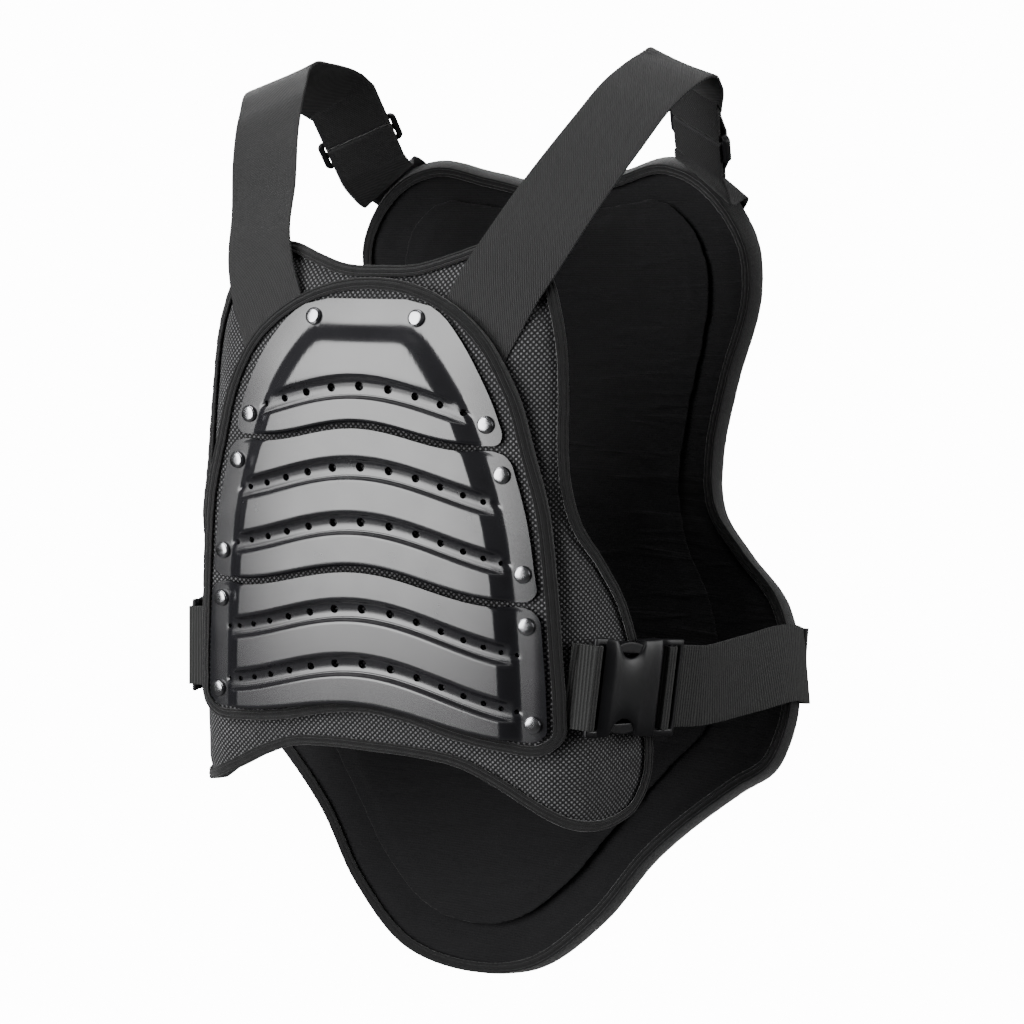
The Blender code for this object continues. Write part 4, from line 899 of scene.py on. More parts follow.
# %% Relief of a plate
side_line = smooth_line([(across * PLATE_HALF_WIDTH, plate_height(up))
                         for across, up in PLATE_SIDE])
plate_edge = np.vstack([side_line, side_line[::-1] * (-1.0, 1.0)])
step_below, step_height = smooth_line([(below, share * STEP_DEPTH)
                                       for below, share in STEP_SHAPE], 3).T


def side_at(up):
    """Half the plates' width at a height."""
    return np.interp(up, side_line[::-1, 1], side_line[::-1, 0])


def relief(number, across, up):
    """How far the plate stands in front of its flange."""
    inside = distance_from(plate_edge, np.stack([across, up], axis=1))
    ramp = np.clip((inside - FLANGE_WIDTH) / SHOULDER_WIDTH, 0.0, 1.0)
    height = FIELD_HEIGHT * (0.6 * ramp + 0.4 * soft_step(ramp, 0.0, 1.0))
    fade = np.clip(1 + (height - FIELD_HEIGHT) / STEP_DEPTH, 0.0, 1.0)
    for plate, share, _ in HOLE_ROWS:
        if plate == number:
            below = row_line(plate_height(share), 1.0, 1.0)(across) - up
            step = np.interp(below, step_below, step_height, left=0.0, right=0.0)
            height = height + step * fade
            away = np.hypot(inside - FLANGE_WIDTH - DIMPLE_IN, below) / DIMPLE_RADIUS
            height = height - DIMPLE_DEPTH * np.exp(-away**2)
    from_edge = np.clip((up - edge_line(number)(across)) / ROLL_WIDTH, 0.0, 1.0)
    return height * np.sqrt(1 - (1 - from_edge)**2)


def rounded_in(distance):
    """How far a corner is cut back at a distance from the plate's end."""
    left = PLATE_CORNER - np.minimum(distance, PLATE_CORNER)
    return PLATE_CORNER - np.sqrt(PLATE_CORNER**2 - left**2)


# %% Rows of a plate's grid
FIELD_ROWS = 14


def between(upper, lower, count):
    """Lines that part the room between two others."""
    return [lambda across, share=share: upper(across) * (1 - share) + lower(across) * share
            for share in np.linspace(0.0, 1.0, count + 1)[1:-1]]


def edge_line(number):
    """The lower edge of a plate."""
    up, sink, reach = EDGE_ROWS[number]
    return row_line(plate_height(up), sink, reach)


def plate_lines(number):
    """The lines that the rows of the grid follow: every one of a step's lines is a row."""
    if number == 0:
        lines = [row_line(PLATE_RISE, 0.0, 1.0)]
    else:
        upper = edge_line(number - 1)
        lines = [lambda across: upper(across) - PLATE_JOIN]
    for plate, share, _ in HOLE_ROWS:
        if plate == number:
            up = plate_height(share)
            steps = [row_line(up - below, 1.0, 1.0) for below in step_below]
            lines += between(lines[-1], steps[0], FIELD_ROWS) + steps
    bottom = edge_line(number)
    roll = [lambda across, share=share: bottom(across) + share * ROLL_WIDTH
            for share in ROLL_ROWS]
    return lines + between(lines[-1], roll[0], FIELD_ROWS) + roll + [bottom]


# %% Lay a grid to a plate
GRID_ACROSS = 260
SEAT = PAD_BACK + PAD_THICK + SEAM_GAP


def pierce(piece, number):
    """Open the vents: faces inside each circle go, and what is left ends on the circle."""
    points = coordinates(piece)
    inside = np.zeros(len(piece.data.polygons), bool)
    for across, up, radius in hole_places(number):
        away = points[:, :2] - (across, up)
        near = [face for face in piece.data.polygons
                if np.hypot(face.center.x - across, face.center.y - up) < radius]
        inside[[face.index for face in near]] = True
        for index in {index for face in near for index in face.vertices}:
            points[index, :2] += away[index] * (radius / max(np.hypot(*away[index]), 1e-6) - 1)
    put_at(piece, points)
    delete_faces(piece, inside)


def make_plate(number, name):
    """A plate: a grid cut to its outline, pierced, raised to its relief and given its wall."""
    lines = plate_lines(number)
    piece, column, row = unit_grid(GRID_ACROSS, len(lines) - 1)
    row = len(lines) - 1 - row
    side_up = np.array([float(line(PLATE_HALF_WIDTH * 0.8)) for line in lines])
    side = side_at(np.minimum(side_up, PLATE_RISE)) - rounded_in(side_up - side_up[-1])
    if number:
        side = side - rounded_in(side_up[0] - side_up)
    across = np.linspace(-1.0, 1.0, GRID_ACROSS + 1)[column] * side[row]
    up = np.array([line(across) for line in lines])[row, np.arange(len(row))]
    put_at(piece, np.stack([across, up, np.zeros(len(up))], axis=1))
    pierce(piece, number)
    flat = coordinates(piece)[:, :2]
    lift = SEAT + PLATE_THICK + relief(number, *flat.T)
    write_uv(piece, flat)
    put_at(piece, lay_on(front_surface, np.column_stack([flat, lift])))
    apply_modifier(piece, "SOLIDIFY", thickness=PLATE_THICK, offset=-1.0)
    face_outward(piece)
    return keep_piece(piece, name + "_moulded", "plate_plastic", [name], angle=40)


for plate_number, plate_name in enumerate(("plate_upper", "plate_middle", "plate_lower")):
    plate = make_plate(plate_number, plate_name)
    print(plate.name, "faces:", len(plate.data.polygons))

# %% [markdown]
# ## Rivets
#
# Twelve polished rivets hold the plates. A head is turned: a circle is extruded and scaled
# step by step down its profile, from a dark foot ring up to the domed crown.

# %% Turn a rivet and copy it
RIVETS = (
    # across as a share of PLATE_HALF_WIDTH, up as a share of PLATE_RISE
    (0.297, 0.922), (0.690, 0.474), (0.775, 0.250), (0.886, -0.195), (0.906, -0.432),
    (0.940, -0.885),
)
RIVET_PROFILE = (
    # radius, height
    (0.0050, 0.0002), (0.0052, 0.0006), (0.0051, 0.0012), (0.0049, 0.0017), (0.0047, 0.0018),
    (0.0046, 0.0022), (0.0043, 0.00245), (0.0037, 0.0026), (0.0025, 0.00275),
    (0.0010, 0.0028), (0.0003, 0.0028),
)
RIVET_SIDES, RIVET_CLEAR = 40, 0.0001
RIVET_SEAT = SEAT + PLATE_THICK + RIVET_CLEAR


def turn_rivet(foot, outward):
    """A head at its foot, facing outward."""
    fresh()
    bpy.ops.mesh.primitive_circle_add(vertices=RIVET_SIDES, radius=RIVET_PROFILE[0][0],
                                      fill_type="NGON")
    piece = bpy.context.object
    edit_all(piece)
    radius, height = RIVET_PROFILE[0][0], 0.0
    for wide, high in RIVET_PROFILE:
        bpy.ops.mesh.extrude_region_move(TRANSFORM_OT_translate={"value": (0, 0, high - height)})
        bpy.ops.transform.resize(value=(wide / radius, wide / radius, 1.0))
        radius, height = wide, high
    leave_edit()
    piece.data.transform(Matrix.Translation(foot)
                         @ Vector(outward).to_track_quat("Z", "Y").to_matrix().to_4x4())
    face_outward(piece)
    return piece


for number, (across, up) in enumerate(RIVETS, 1):
    for side, name in ((1, "right"), (-1, "left")):
        spot = (side * across * PLATE_HALF_WIDTH, up * PLATE_RISE)
        foot, above = lay_on(front_surface, [(*spot, RIVET_SEAT), (*spot, RIVET_SEAT + 0.01)])
        keep_piece(turn_rivet(foot, above - foot), f"rivet_head_{number}_{name}",
                   "rivet_metal", [f"rivet_{number}_{name}"], angle=35)

# %% [markdown]
# ## Webbing
#
# Straps are flat webbing, swept along a line with a direction across it at each point. A grid
# is laid along that line, its UV map holds metres across and along, and Solidify gives it its
# thickness. Where webbing turns round a bar, its line follows an arc round the bar.

# %% Measures and helpers for webbing
CREST = Vector((0.142, 0.151, 0.272)) - Vector(SHOULDERS)
STRAP_FOOT = (0.060, 0.098)
STRAP_LEAVES = (0.089, 0.157)
LYING_SHARE = 0.25
ADJUSTER_PLACE = Vector((0.1286, 0.2245, 0.241)) - Vector(SHOULDERS)
ADJUSTER_AXIS = (-0.11, 0.56, -0.82)
CREST_ACROSS = (0.88, -0.27, -0.36)
ADJUSTER_ACROSS = (0.82, -0.44, -0.40)
STRAP_TAIL = 0.026
BACK_STRAP_TAIL = 0.012
BACK_STRAP_LAP = 0.045
STRAP_CROSSES = 0.95
STRAP_CLIMB = (
    # out, back, up
    (0.234, 0.218, 0.282), (0.545, 0.472, 0.600), (0.770, 0.705, 0.840),
)
STRAP_FALL = (
    # out, back, down
    (0.20, 0.37, 0.15), (0.56, 0.71, 0.50),
)
BAR_THICK, BAR_WIDTH, SLOT_WIDTH, FRAME_SIDE = 0.003, 0.0035, 0.005, 0.004
WEB_OFF = SEAM_GAP + WEB_THICK / 2
WEB_CELLS, WEB_ROUNDING = 16, 0.0004
BAR_LIFT = BAR_THICK / 2 + WEB_OFF
LYING_LIFT = WEB_OFF + 2 * SEAM_GAP                 # of webbing that lies on cloth
DOUBLED_LIFT = -BAR_LIFT + WEB_THICK + SEAM_GAP     # of a tail that lies on its own strap


def front_point(across, up, depth):
    return Vector(lay_on(front_surface, [(across, up, depth)])[0])


def back_point(across, up, depth):
    return Vector(lay_on(back_surface, [(across, up, depth)])[0])


def round_bar(middle, side, over, steps=6):
    """Side view of webbing round a bar: side is 1 or -1 for the side that it passes on, over
    is 1 when it comes from the outer face, else -1."""
    around = []
    for face, first, last in ((over, 90.0, 0.0), (-over, 0.0, -90.0)):
        corner = (middle[0] + side * BAR_WIDTH / 2, middle[1] + face * BAR_THICK / 2)
        for angle in np.radians(np.linspace(first, last, steps)):
            around.append((corner[0] + side * WEB_OFF * math.cos(angle),
                           corner[1] + over * WEB_OFF * math.sin(angle)))
    return around


def lay_webbing(path, sides, step=0.0025):
    """A strip of webbing along a path, with a direction across it at each point."""
    path, sides = np.array(path, float), np.array(sides, float)
    run = run_along(path)
    places = np.linspace(0, run[-1], max(4, round(run[-1] / step)))
    places = np.unique(np.concatenate([places, run[1:-1]]))
    line, side = sampled(path, run, places), sampled(sides, run, places)
    ahead = unit(np.gradient(line, places, axis=0))
    side = unit(side - (side * ahead).sum(axis=1)[:, None] * ahead)
    piece, column, row = unit_grid(WEB_CELLS, len(places) - 1)
    offset = np.linspace(-WEB_WIDTH / 2, WEB_WIDTH / 2, WEB_CELLS + 1)[column]
    put_at(piece, line[row] + side[row] * offset[:, None])
    write_uv(piece, np.stack([offset, places[row]], axis=1))
    apply_modifier(piece, "SOLIDIFY", thickness=WEB_THICK, offset=0.0, use_even_offset=False)
    round_edges(piece, WEB_ROUNDING, degrees=60, segments=2)
    return piece


def part_way(start, end, table):
    """Points between two ends, from a table of shares of the way in each direction."""
    way = end - start
    return [start + Vector([share * step for share, step in zip(row, way)]) for row in table]


# %% The frame of each adjuster
def square_frame(place, across, along):
    """A frame with X across, Y along and Z outward."""
    along = Vector(along).normalized()
    across = Vector(across)
    across = (across - across.dot(along) * along).normalized()
    turn = Matrix((across, along, across.cross(along))).transposed().to_4x4()
    return Matrix.Translation(place) @ turn


adjuster = square_frame(ADJUSTER_PLACE, ADJUSTER_ACROSS, ADJUSTER_AXIS)
level = adjuster.col[0].to_3d()

# %% The strap over the shoulder
TWIST_BLEND = 0.014         # the strap's turning is evened out over this much of it each way


def make_shoulder_strap():
    """From the chest over the shoulder, round the adjuster's first bar and back on itself."""
    low, over_tape = LYING_LIFT, LYING_LIFT + TAPE_THICK + SEAM_GAP * 2
    foot, leaves = np.array(STRAP_FOOT), np.array(STRAP_LEAVES)
    lying = [front_point(*(foot + share * (leaves - foot)), depth)
             for share, depth in ((0.0, low), (0.4, low), (0.7, over_tape), (1.0, over_tape))]
    crest = CREST + Vector((0, 0, WEB_THICK / 2))
    entry = adjuster @ Vector((0, -STRAP_TAIL, -BAR_LIFT))
    points = lying + part_way(lying[-1], crest, STRAP_CLIMB) + [crest]
    points += part_way(crest, entry, STRAP_FALL) + [entry]
    path = smooth_line(points)
    tail = [(-BAR_WIDTH / 2 - WEB_OFF, BAR_LIFT), (-STRAP_TAIL * 0.6, DOUBLED_LIFT),
            (-STRAP_TAIL, DOUBLED_LIFT)]
    held = [adjuster @ Vector((0, y, z)) for y, z in round_bar((0.0, 0.0), 1, -1) + tail]
    reach = (leaves - foot)[::-1] * (1.0, -1.0)
    reach *= WEB_WIDTH / 2 / np.linalg.norm(reach)
    flat = (front_point(*(foot + reach), low) - front_point(*(foot - reach), low)).normalized()
    run = run_along(path)
    shares = run / run[-1]
    top = shares[np.argmax(path[:, 2])]
    turning = []
    for share in shares:
        if share < top:
            turned = max(0.0, share / top - LYING_SHARE) / (1 - LYING_SHARE)
            turning.append(flat.lerp(Vector(CREST_ACROSS), turned))
        else:
            turning.append(Vector(CREST_ACROSS).lerp(level, (share - top) / (1 - top)))
    turning = np.array(turning, float)
    sides = [turning[np.abs(run - place) < TWIST_BLEND].mean(axis=0) for place in run]
    return lay_webbing([*path, *held], sides + [level] * len(held))


# Behind the crest and under it the strap gets a darker copy of the same webbing: painted shade.
SHADE_BEHIND, SHADE_ABOVE = CREST.y + 0.012, -0.16


def gets_painted_shade(normal, middle):
    """Whether a face of the strap lies behind the crest or under it, where it gets the darker copy
    of the webbing: painted shade.
    """
    under = normal.z < 0 and middle.z > SHADE_ABOVE and normal.y > 0
    return middle.y > SHADE_BEHIND or under


strap = keep_piece(make_shoulder_strap(), "shoulder_webbing_right", "webbing",
                   ["shoulder_strap_right"], angle=50)
# faces behind or under the crest take the darker webbing: painted shade
strap.data.materials.append(FINISHES["painted_shade_webbing"])
for face in strap.data.polygons:
    face.material_index = int(gets_painted_shade(face.normal, face.center))
left_copy(strap, "shoulder_webbing_left", ["shoulder_strap_left"])

# %% The strap down to the back panel
def top_at(edge, across):
    """The height of an outline's upper edge at a distance across."""
    upper = edge[:len(edge) // 2]
    upper = upper[upper[:, 1] > 0]
    upper = upper[:np.argmax(upper[:, 0]) + 1]
    return float(np.interp(across, upper[:, 0], upper[:, 1]))


def three_bars(start):
    """Where each of three bars of a slide starts and ends."""
    starts = [start + index * (BAR_WIDTH + SLOT_WIDTH) for index in range(3)]
    return [(place, place + BAR_WIDTH) for place in starts]


SLIDE_BARS = three_bars(-BAR_WIDTH / 2)
RIM_SPOTS = np.linspace(-0.45, 0.45, 7)     # across the strap, in strap widths
SETTLES_BY = 1 / 8                          # share of the way at which the strap lies level


def make_back_strap():
    """From the adjuster's middle bar over the rim of the back panel and down behind it."""
    middle = sum(SLIDE_BARS[1]) / 2
    below = SLIDE_BARS[2][1]
    tail = [(below + BACK_STRAP_TAIL, DOUBLED_LIFT), (below + BACK_STRAP_TAIL * 0.5, DOUBLED_LIFT),
            (below + WEB_OFF, BAR_LIFT)]
    held = tail + round_bar((middle, 0.0), -1, 1) + [(below + BACK_STRAP_TAIL, -BAR_LIFT)]
    path = [adjuster @ Vector((0, y, z)) for y, z in held]
    place = path[-1] + Vector(SHOULDERS)
    outs = RIM_SPOTS * WEB_WIDTH + place.x * STRAP_CROSSES
    ups = np.array([top_at(back_edge, out) for out in outs])
    along = Vector((outs[-1] - outs[0], ups[-1] - ups[0])).normalized()
    down = Vector((along.y, -along.x))
    bulge = max(-down.dot(Vector((out - outs[0], up - ups[0]))) for out, up in zip(outs, ups))
    rim = Vector((outs[0] + outs[-1], ups[0] + ups[-1])) / 2
    over = bulge + 4 * SEAM_GAP + WEB_OFF
    lie = BACK_THICK + TAPE_THICK + 4 * SEAM_GAP + WEB_OFF
    route = ((-over, TAPE_THICK + WEB_OFF), (-over, -BACK_THICK), (-over * 0.6, -lie),
             (BACK_STRAP_LAP * 0.3, -lie), (BACK_STRAP_LAP, -lie))
    points = path[-2:]
    for distance, depth in route:
        spot = rim + down * distance
        points.append(back_point(spot.x, spot.y, depth))
    free = smooth_line(points)[8:]
    lying = (back_point(rim.x + along.x * 0.01, rim.y + along.y * 0.01, -lie)
             - back_point(rim.x - along.x * 0.01, rim.y - along.y * 0.01, -lie)).normalized()
    sides = [level] * len(held)
    sides += [level.lerp(lying, min(1.0, share / SETTLES_BY)) for share in shares_along(free)[1:]]
    return lay_webbing([*path, *free[1:]], sides)


# The back strap is the same webbing in its darker copy: painted shade.
keep_pair(make_back_strap(), "back_webbing", "webbing", "back_strap",
          finish="painted_shade_webbing", angle=50)

# %% [markdown]
# ## Adjusters
#
# An adjuster is a moulded frame with three bars, and the webbing turns round them. A grid
# gets one cell for each bar, slot and side, the slot cells are deleted, and Solidify and Bevel
# give the rest its thickness and its rounded edges. The side bars stand a little proud, so
# that the webbing can't slip off.

# %% Cut a barred frame from a grid
SIDE_LIFT, END_ROUNDING, ADJUSTER_ROUNDING = 0.5, 0.30, 0.0008


def barred_frame(columns, rows, slots, round_off, lift=None):
    """A flat frame on the given lines, open in each slot: its left, right, low and high."""
    piece, column, row = unit_grid(len(columns) - 1, len(rows) - 1)
    put_at(piece, np.stack([np.array(columns)[column], np.array(rows)[row],
                            np.zeros(len(row))], axis=1))
    bpy.context.tool_settings.mesh_select_mode = (False, False, True)
    delete_faces(piece, [any(left < face.center.x < right and low < face.center.y < high
                             for left, right, low, high in slots)
                         for face in piece.data.polygons])
    apply_modifier(piece, "SOLIDIFY", thickness=BAR_THICK, offset=0.0)
    if lift:
        points = coordinates(piece)
        points[:, 2] *= lift(points[:, 0])
        put_at(piece, points)
    round_edges(piece, round_off)
    return piece


def room_between(bars):
    """The slots between bars, each from where it starts to where it ends."""
    return [(first[1], second[0]) for first, second in zip(bars, bars[1:])]


def make_adjuster():
    half = WEB_WIDTH / 2 + FRAME_SIDE + 2 * SEAM_GAP
    inner = WEB_WIDTH / 2 + SEAM_GAP
    sides = list(np.linspace(inner, half, 5))
    columns = [-side for side in sides[::-1]] + list(np.linspace(-inner, inner, 9)[1:-1]) + sides
    rows = [edge for bar in SLIDE_BARS for edge in bar]
    slots = [(-inner, inner, *slot) for slot in room_between(SLIDE_BARS)]
    piece = barred_frame(columns, rows, slots, ADJUSTER_ROUNDING,
                         lambda across: 1.0 + SIDE_LIFT * (np.abs(across) > inner + SEAM_GAP))
    points = coordinates(piece)
    outward = np.clip((np.abs(points[:, 0]) - inner) / (half - inner), 0, 1)
    middle = (rows[0] + rows[-1]) / 2
    points[:, 1] = middle + (points[:, 1] - middle) * (1 - END_ROUNDING * outward**2)
    put_at(piece, points)
    piece.data.transform(adjuster)
    return piece


keep_pair(make_adjuster(), "strap_adjuster", "buckle_plastic", "adjuster", angle=40)

# %% [markdown]
# ## Belt buckles
#
# A side release buckle is a socket on a short stub of webbing and a plug on the belt. Two
# sprung prongs of the plug show in the round windows at the socket's sides, where they are
# pressed to open it. Both halves are drawn in the buckle's own frame: X along it to the back,
# Y up across it and Z outward.

# %% Place of the buckle
BELT_HEIGHT, BUCKLE_HEIGHT, BUCKLE_DROP = -0.108, -0.0975, 8.5
BUCKLE_FROM, BUCKLE_LIFT = 0.1315, 0.0078
SOCKET_LENGTH, SOCKET_WIDTH, SOCKET_THICK = 0.0525, 0.059, 0.0105
PLUG_LENGTH = 3 * BAR_WIDTH + 2 * SLOT_WIDTH
BELT_TAIL = 0.020
WINDOW_RADIUS = 0.010


def beside_buckle(along, across, lift):
    """A point beside the right buckle: along it from its start, across up, lift outward."""
    drop = math.radians(BUCKLE_DROP)
    middle = (SOCKET_LENGTH + PLUG_LENGTH) / 2
    run = along - middle
    cloth = BUCKLE_FROM + middle + run * math.cos(drop) + across * math.sin(drop)
    up = BUCKLE_HEIGHT - run * math.sin(drop) + across * math.cos(drop)
    return front_point(cloth, up, lift)


NEAR, FAR = 0.02, 0.06      # the buckle's frame is taken between these places along it
near_point = beside_buckle(NEAR, 0.0, BUCKLE_LIFT)
along_buckle = (beside_buckle(FAR, 0.0, BUCKLE_LIFT) - near_point).normalized()
across_buckle = beside_buckle(NEAR, 0.02, BUCKLE_LIFT) - near_point
across_buckle = (across_buckle - across_buckle.dot(along_buckle) * along_buckle).normalized()
turn = Matrix((along_buckle, across_buckle, along_buckle.cross(across_buckle)))
buckle = Matrix.Translation(near_point - along_buckle * NEAR) @ turn.transposed().to_4x4()

# %% The socket
HEAD_HALF, HEAD_INNER = SOCKET_WIDTH / 2, SOCKET_WIDTH / 2 - FRAME_SIDE
HEAD_ROWS = [-HEAD_HALF, *np.linspace(-HEAD_INNER, HEAD_INNER, 7), HEAD_HALF]
HEAD_ROUNDING, SOCKET_ROUNDING = 0.0011, 0.0009
SOCKET_HEAD = BAR_WIDTH + SLOT_WIDTH
FINE_FROM = SOCKET_HEAD + 0.010             # where the socket's grid becomes finer
WINDOW_MIDDLE = SOCKET_HEAD + (SOCKET_LENGTH - SOCKET_HEAD) * 0.44
WINDOW_BITE, SOCKET_BOW = 1.05, 0.0010
NECK_LENGTH, NECK_SHARE = 0.007, 0.35       # the body thickens from its neck over this length
END_TAPER, CROWN_SHARE, LOWER_SHARE = 0.10, 0.38, 0.8      # shares of the body's thickness
GROOVE_AT, GROOVE_SINK, GROOVE_SPREAD = 0.0085, 0.0005, 0.0012


def socket_outline(along):
    """Half the socket's width: two round bites are the finger windows."""
    away = np.abs(along - WINDOW_MIDDLE)
    bite = np.sqrt(np.maximum(WINDOW_RADIUS**2 - away**2, 0.0))
    bow = SOCKET_BOW * ((along - WINDOW_MIDDLE) / (SOCKET_LENGTH - WINDOW_MIDDLE))**2
    return HEAD_HALF - SOCKET_BOW + bow - WINDOW_BITE * bite


def make_socket():
    """The body is a grid whose rows narrow at the windows, given a crown and a wall."""
    rows = np.concatenate([np.linspace(SOCKET_HEAD, FINE_FROM, 5)[:-1],
                           np.linspace(FINE_FROM, SOCKET_LENGTH, 40)])
    shares = np.sin(np.linspace(-1, 1, 25) * math.pi / 2)
    piece, column, row = unit_grid(len(rows) - 1, len(shares) - 1)
    along, share = rows[column], shares[row]
    rise = soft_step(along, SOCKET_HEAD, SOCKET_HEAD + NECK_LENGTH)
    thick = SOCKET_THICK / 2 * (NECK_SHARE + (1 - NECK_SHARE) * rise)
    thick = thick * (1 - END_TAPER * soft_step(along, SOCKET_LENGTH * 0.80, SOCKET_LENGTH))
    dome = np.sqrt(np.maximum(1 - np.abs(share)**3, 0.0))
    crown = thick * (1 - CROWN_SHARE + CROWN_SHARE * dome)
    groove = GROOVE_SINK * np.exp(-((along - SOCKET_HEAD - GROOVE_AT) / GROOVE_SPREAD)**2)
    put_at(piece, np.stack([along, share * socket_outline(along), crown - groove], axis=1))
    edit_all(piece)
    bpy.ops.mesh.extrude_region_move(
        TRANSFORM_OT_translate={"value": (0, 0, -2 * SOCKET_THICK)})
    leave_edit()
    points = coordinates(piece)
    low = points[:, 2] < 0
    points[low, 2] = -SOCKET_THICK / 2 * LOWER_SHARE * np.interp(
        points[low, 0], (SOCKET_HEAD, SOCKET_HEAD + NECK_LENGTH), (NECK_SHARE, 1.0))
    put_at(piece, points)
    face_outward(piece)
    round_edges(piece, SOCKET_ROUNDING)
    return piece


def socket_head():
    """The slotted bar that the stub is threaded on."""
    return barred_frame([0.0, BAR_WIDTH, SOCKET_HEAD, SOCKET_HEAD + 0.002], HEAD_ROWS,
                        [(BAR_WIDTH, SOCKET_HEAD, -HEAD_INNER, HEAD_INNER)], HEAD_ROUNDING)


def join_pieces(*pieces):
    fresh()
    for piece in pieces:
        piece.select_set(True)
    bpy.context.view_layer.objects.active = pieces[0]
    bpy.ops.object.join()
    return bpy.context.object


socket = join_pieces(make_socket(), socket_head())
socket.data.transform(buckle)
keep_pair(socket, "buckle_socket_half", "buckle_plastic", "buckle_socket", angle=35)

# %% The plug with its prongs
PLUG_START = SOCKET_LENGTH + SEAM_GAP
PLUG_BARS = three_bars(PLUG_START)
PRONG_ROWS, PRONG_CELLS, PRONG_ROUNDING = 28, 6, 0.0012
PRONG_THICK = SOCKET_THICK * 0.55
PRONG_OUTER, PRONG_INNER, PRONG_CURVE = 0.0018, 0.0085, 0.0045     # inward from the head's side
PLUG_BAR_LIFT, PLUG_SLOT_FROM = 1.3, PLUG_BARS[0][1] - 1e-6


def make_prong(side):
    """A lens-shaped arm that shows in the window."""
    along = np.linspace(WINDOW_MIDDLE - WINDOW_RADIUS * 1.05, PLUG_START + BAR_WIDTH / 2,
                        PRONG_ROWS)
    bow = (along - WINDOW_MIDDLE) / (WINDOW_RADIUS * 1.5)
    outer = HEAD_HALF - PRONG_OUTER - PRONG_CURVE * np.clip(bow, -1.2, 1.0)**2
    inner = HEAD_HALF - PRONG_INNER - 0.0005 * bow
    piece, column, row = unit_grid(len(along) - 1, PRONG_CELLS)
    across = inner[column] + (outer - inner)[column] * row / PRONG_CELLS
    put_at(piece, np.stack([along[column], side * across, np.zeros(len(row))], axis=1))
    apply_modifier(piece, "SOLIDIFY", thickness=PRONG_THICK, offset=0.0)
    face_outward(piece)
    round_edges(piece, PRONG_ROUNDING)
    return piece


def make_plug():
    """Three bars, the first one thick enough to close the socket, and the two prongs."""
    slots = [(*slot, -HEAD_INNER, HEAD_INNER) for slot in room_between(PLUG_BARS)]
    frame_piece = barred_frame([edge for bar in PLUG_BARS for edge in bar], HEAD_ROWS, slots,
                               HEAD_ROUNDING,
                               lambda along: 1.0 + PLUG_BAR_LIFT * (along < PLUG_SLOT_FROM))
    return join_pieces(frame_piece, make_prong(1), make_prong(-1))


plug = make_plug()
plug.data.transform(buckle)
keep_pair(plug, "buckle_plug_half", "buckle_plastic", "buckle_plug", angle=35)

# %% The stub on the chest side
def make_stub():
    """A loop from the side of the chest pad round the socket's bar and back."""
    start = PAD_HALF_WIDTH - BUCKLE_FROM
    second = LYING_LIFT + WEB_THICK + SEAM_GAP
    lying = [(start, second), (start * 0.6, second), (start * 0.6, LYING_LIFT),
             (start, LYING_LIFT)]
    path = [beside_buckle(spot, 0.0, lift) for spot, lift in lying]
    sides = [(beside_buckle(spot, WEB_WIDTH / 2, lift)
              - beside_buckle(spot, -WEB_WIDTH / 2, lift)).normalized() for spot, lift in lying]
    side_view = [(-WEB_OFF / 2, BAR_LIFT)] + round_bar((BAR_WIDTH / 2, 0.0), 1, 1)
    side_view.append((0.0, -BAR_LIFT))
    held = [buckle @ Vector((along, 0.0, lift)) for along, lift in side_view]
    upright = [buckle.col[1].to_3d()] * len(held)
    return lay_webbing(path[:2] + held + path[2:], sides[:2] + upright + sides[2:], step=0.0015)


keep_pair(make_stub(), "belt_stub_webbing", "webbing", "belt_stub", finish="elastic", angle=50)

# %% [markdown]
# ## Belt
#
# One elastic band runs from plug to plug round the outside of the back panel. Each end comes
# in under its plug, turns round the middle bar and is sewn back under itself.

# %% Lay the belt
def half_width_at(edge, up):
    """Half the outline's width at a height, on its lower half."""
    right = edge[:len(edge) // 2 + 1]
    lower = right[right[:, 1] < 0.02]
    order = np.argsort(lower[:, 1])
    return float(np.interp(up, lower[order, 1], lower[order, 0]))


BELT_SHARES = (0.85, 0.6, 0.3, 0.0)     # of the way out to the panel's edge, across its back


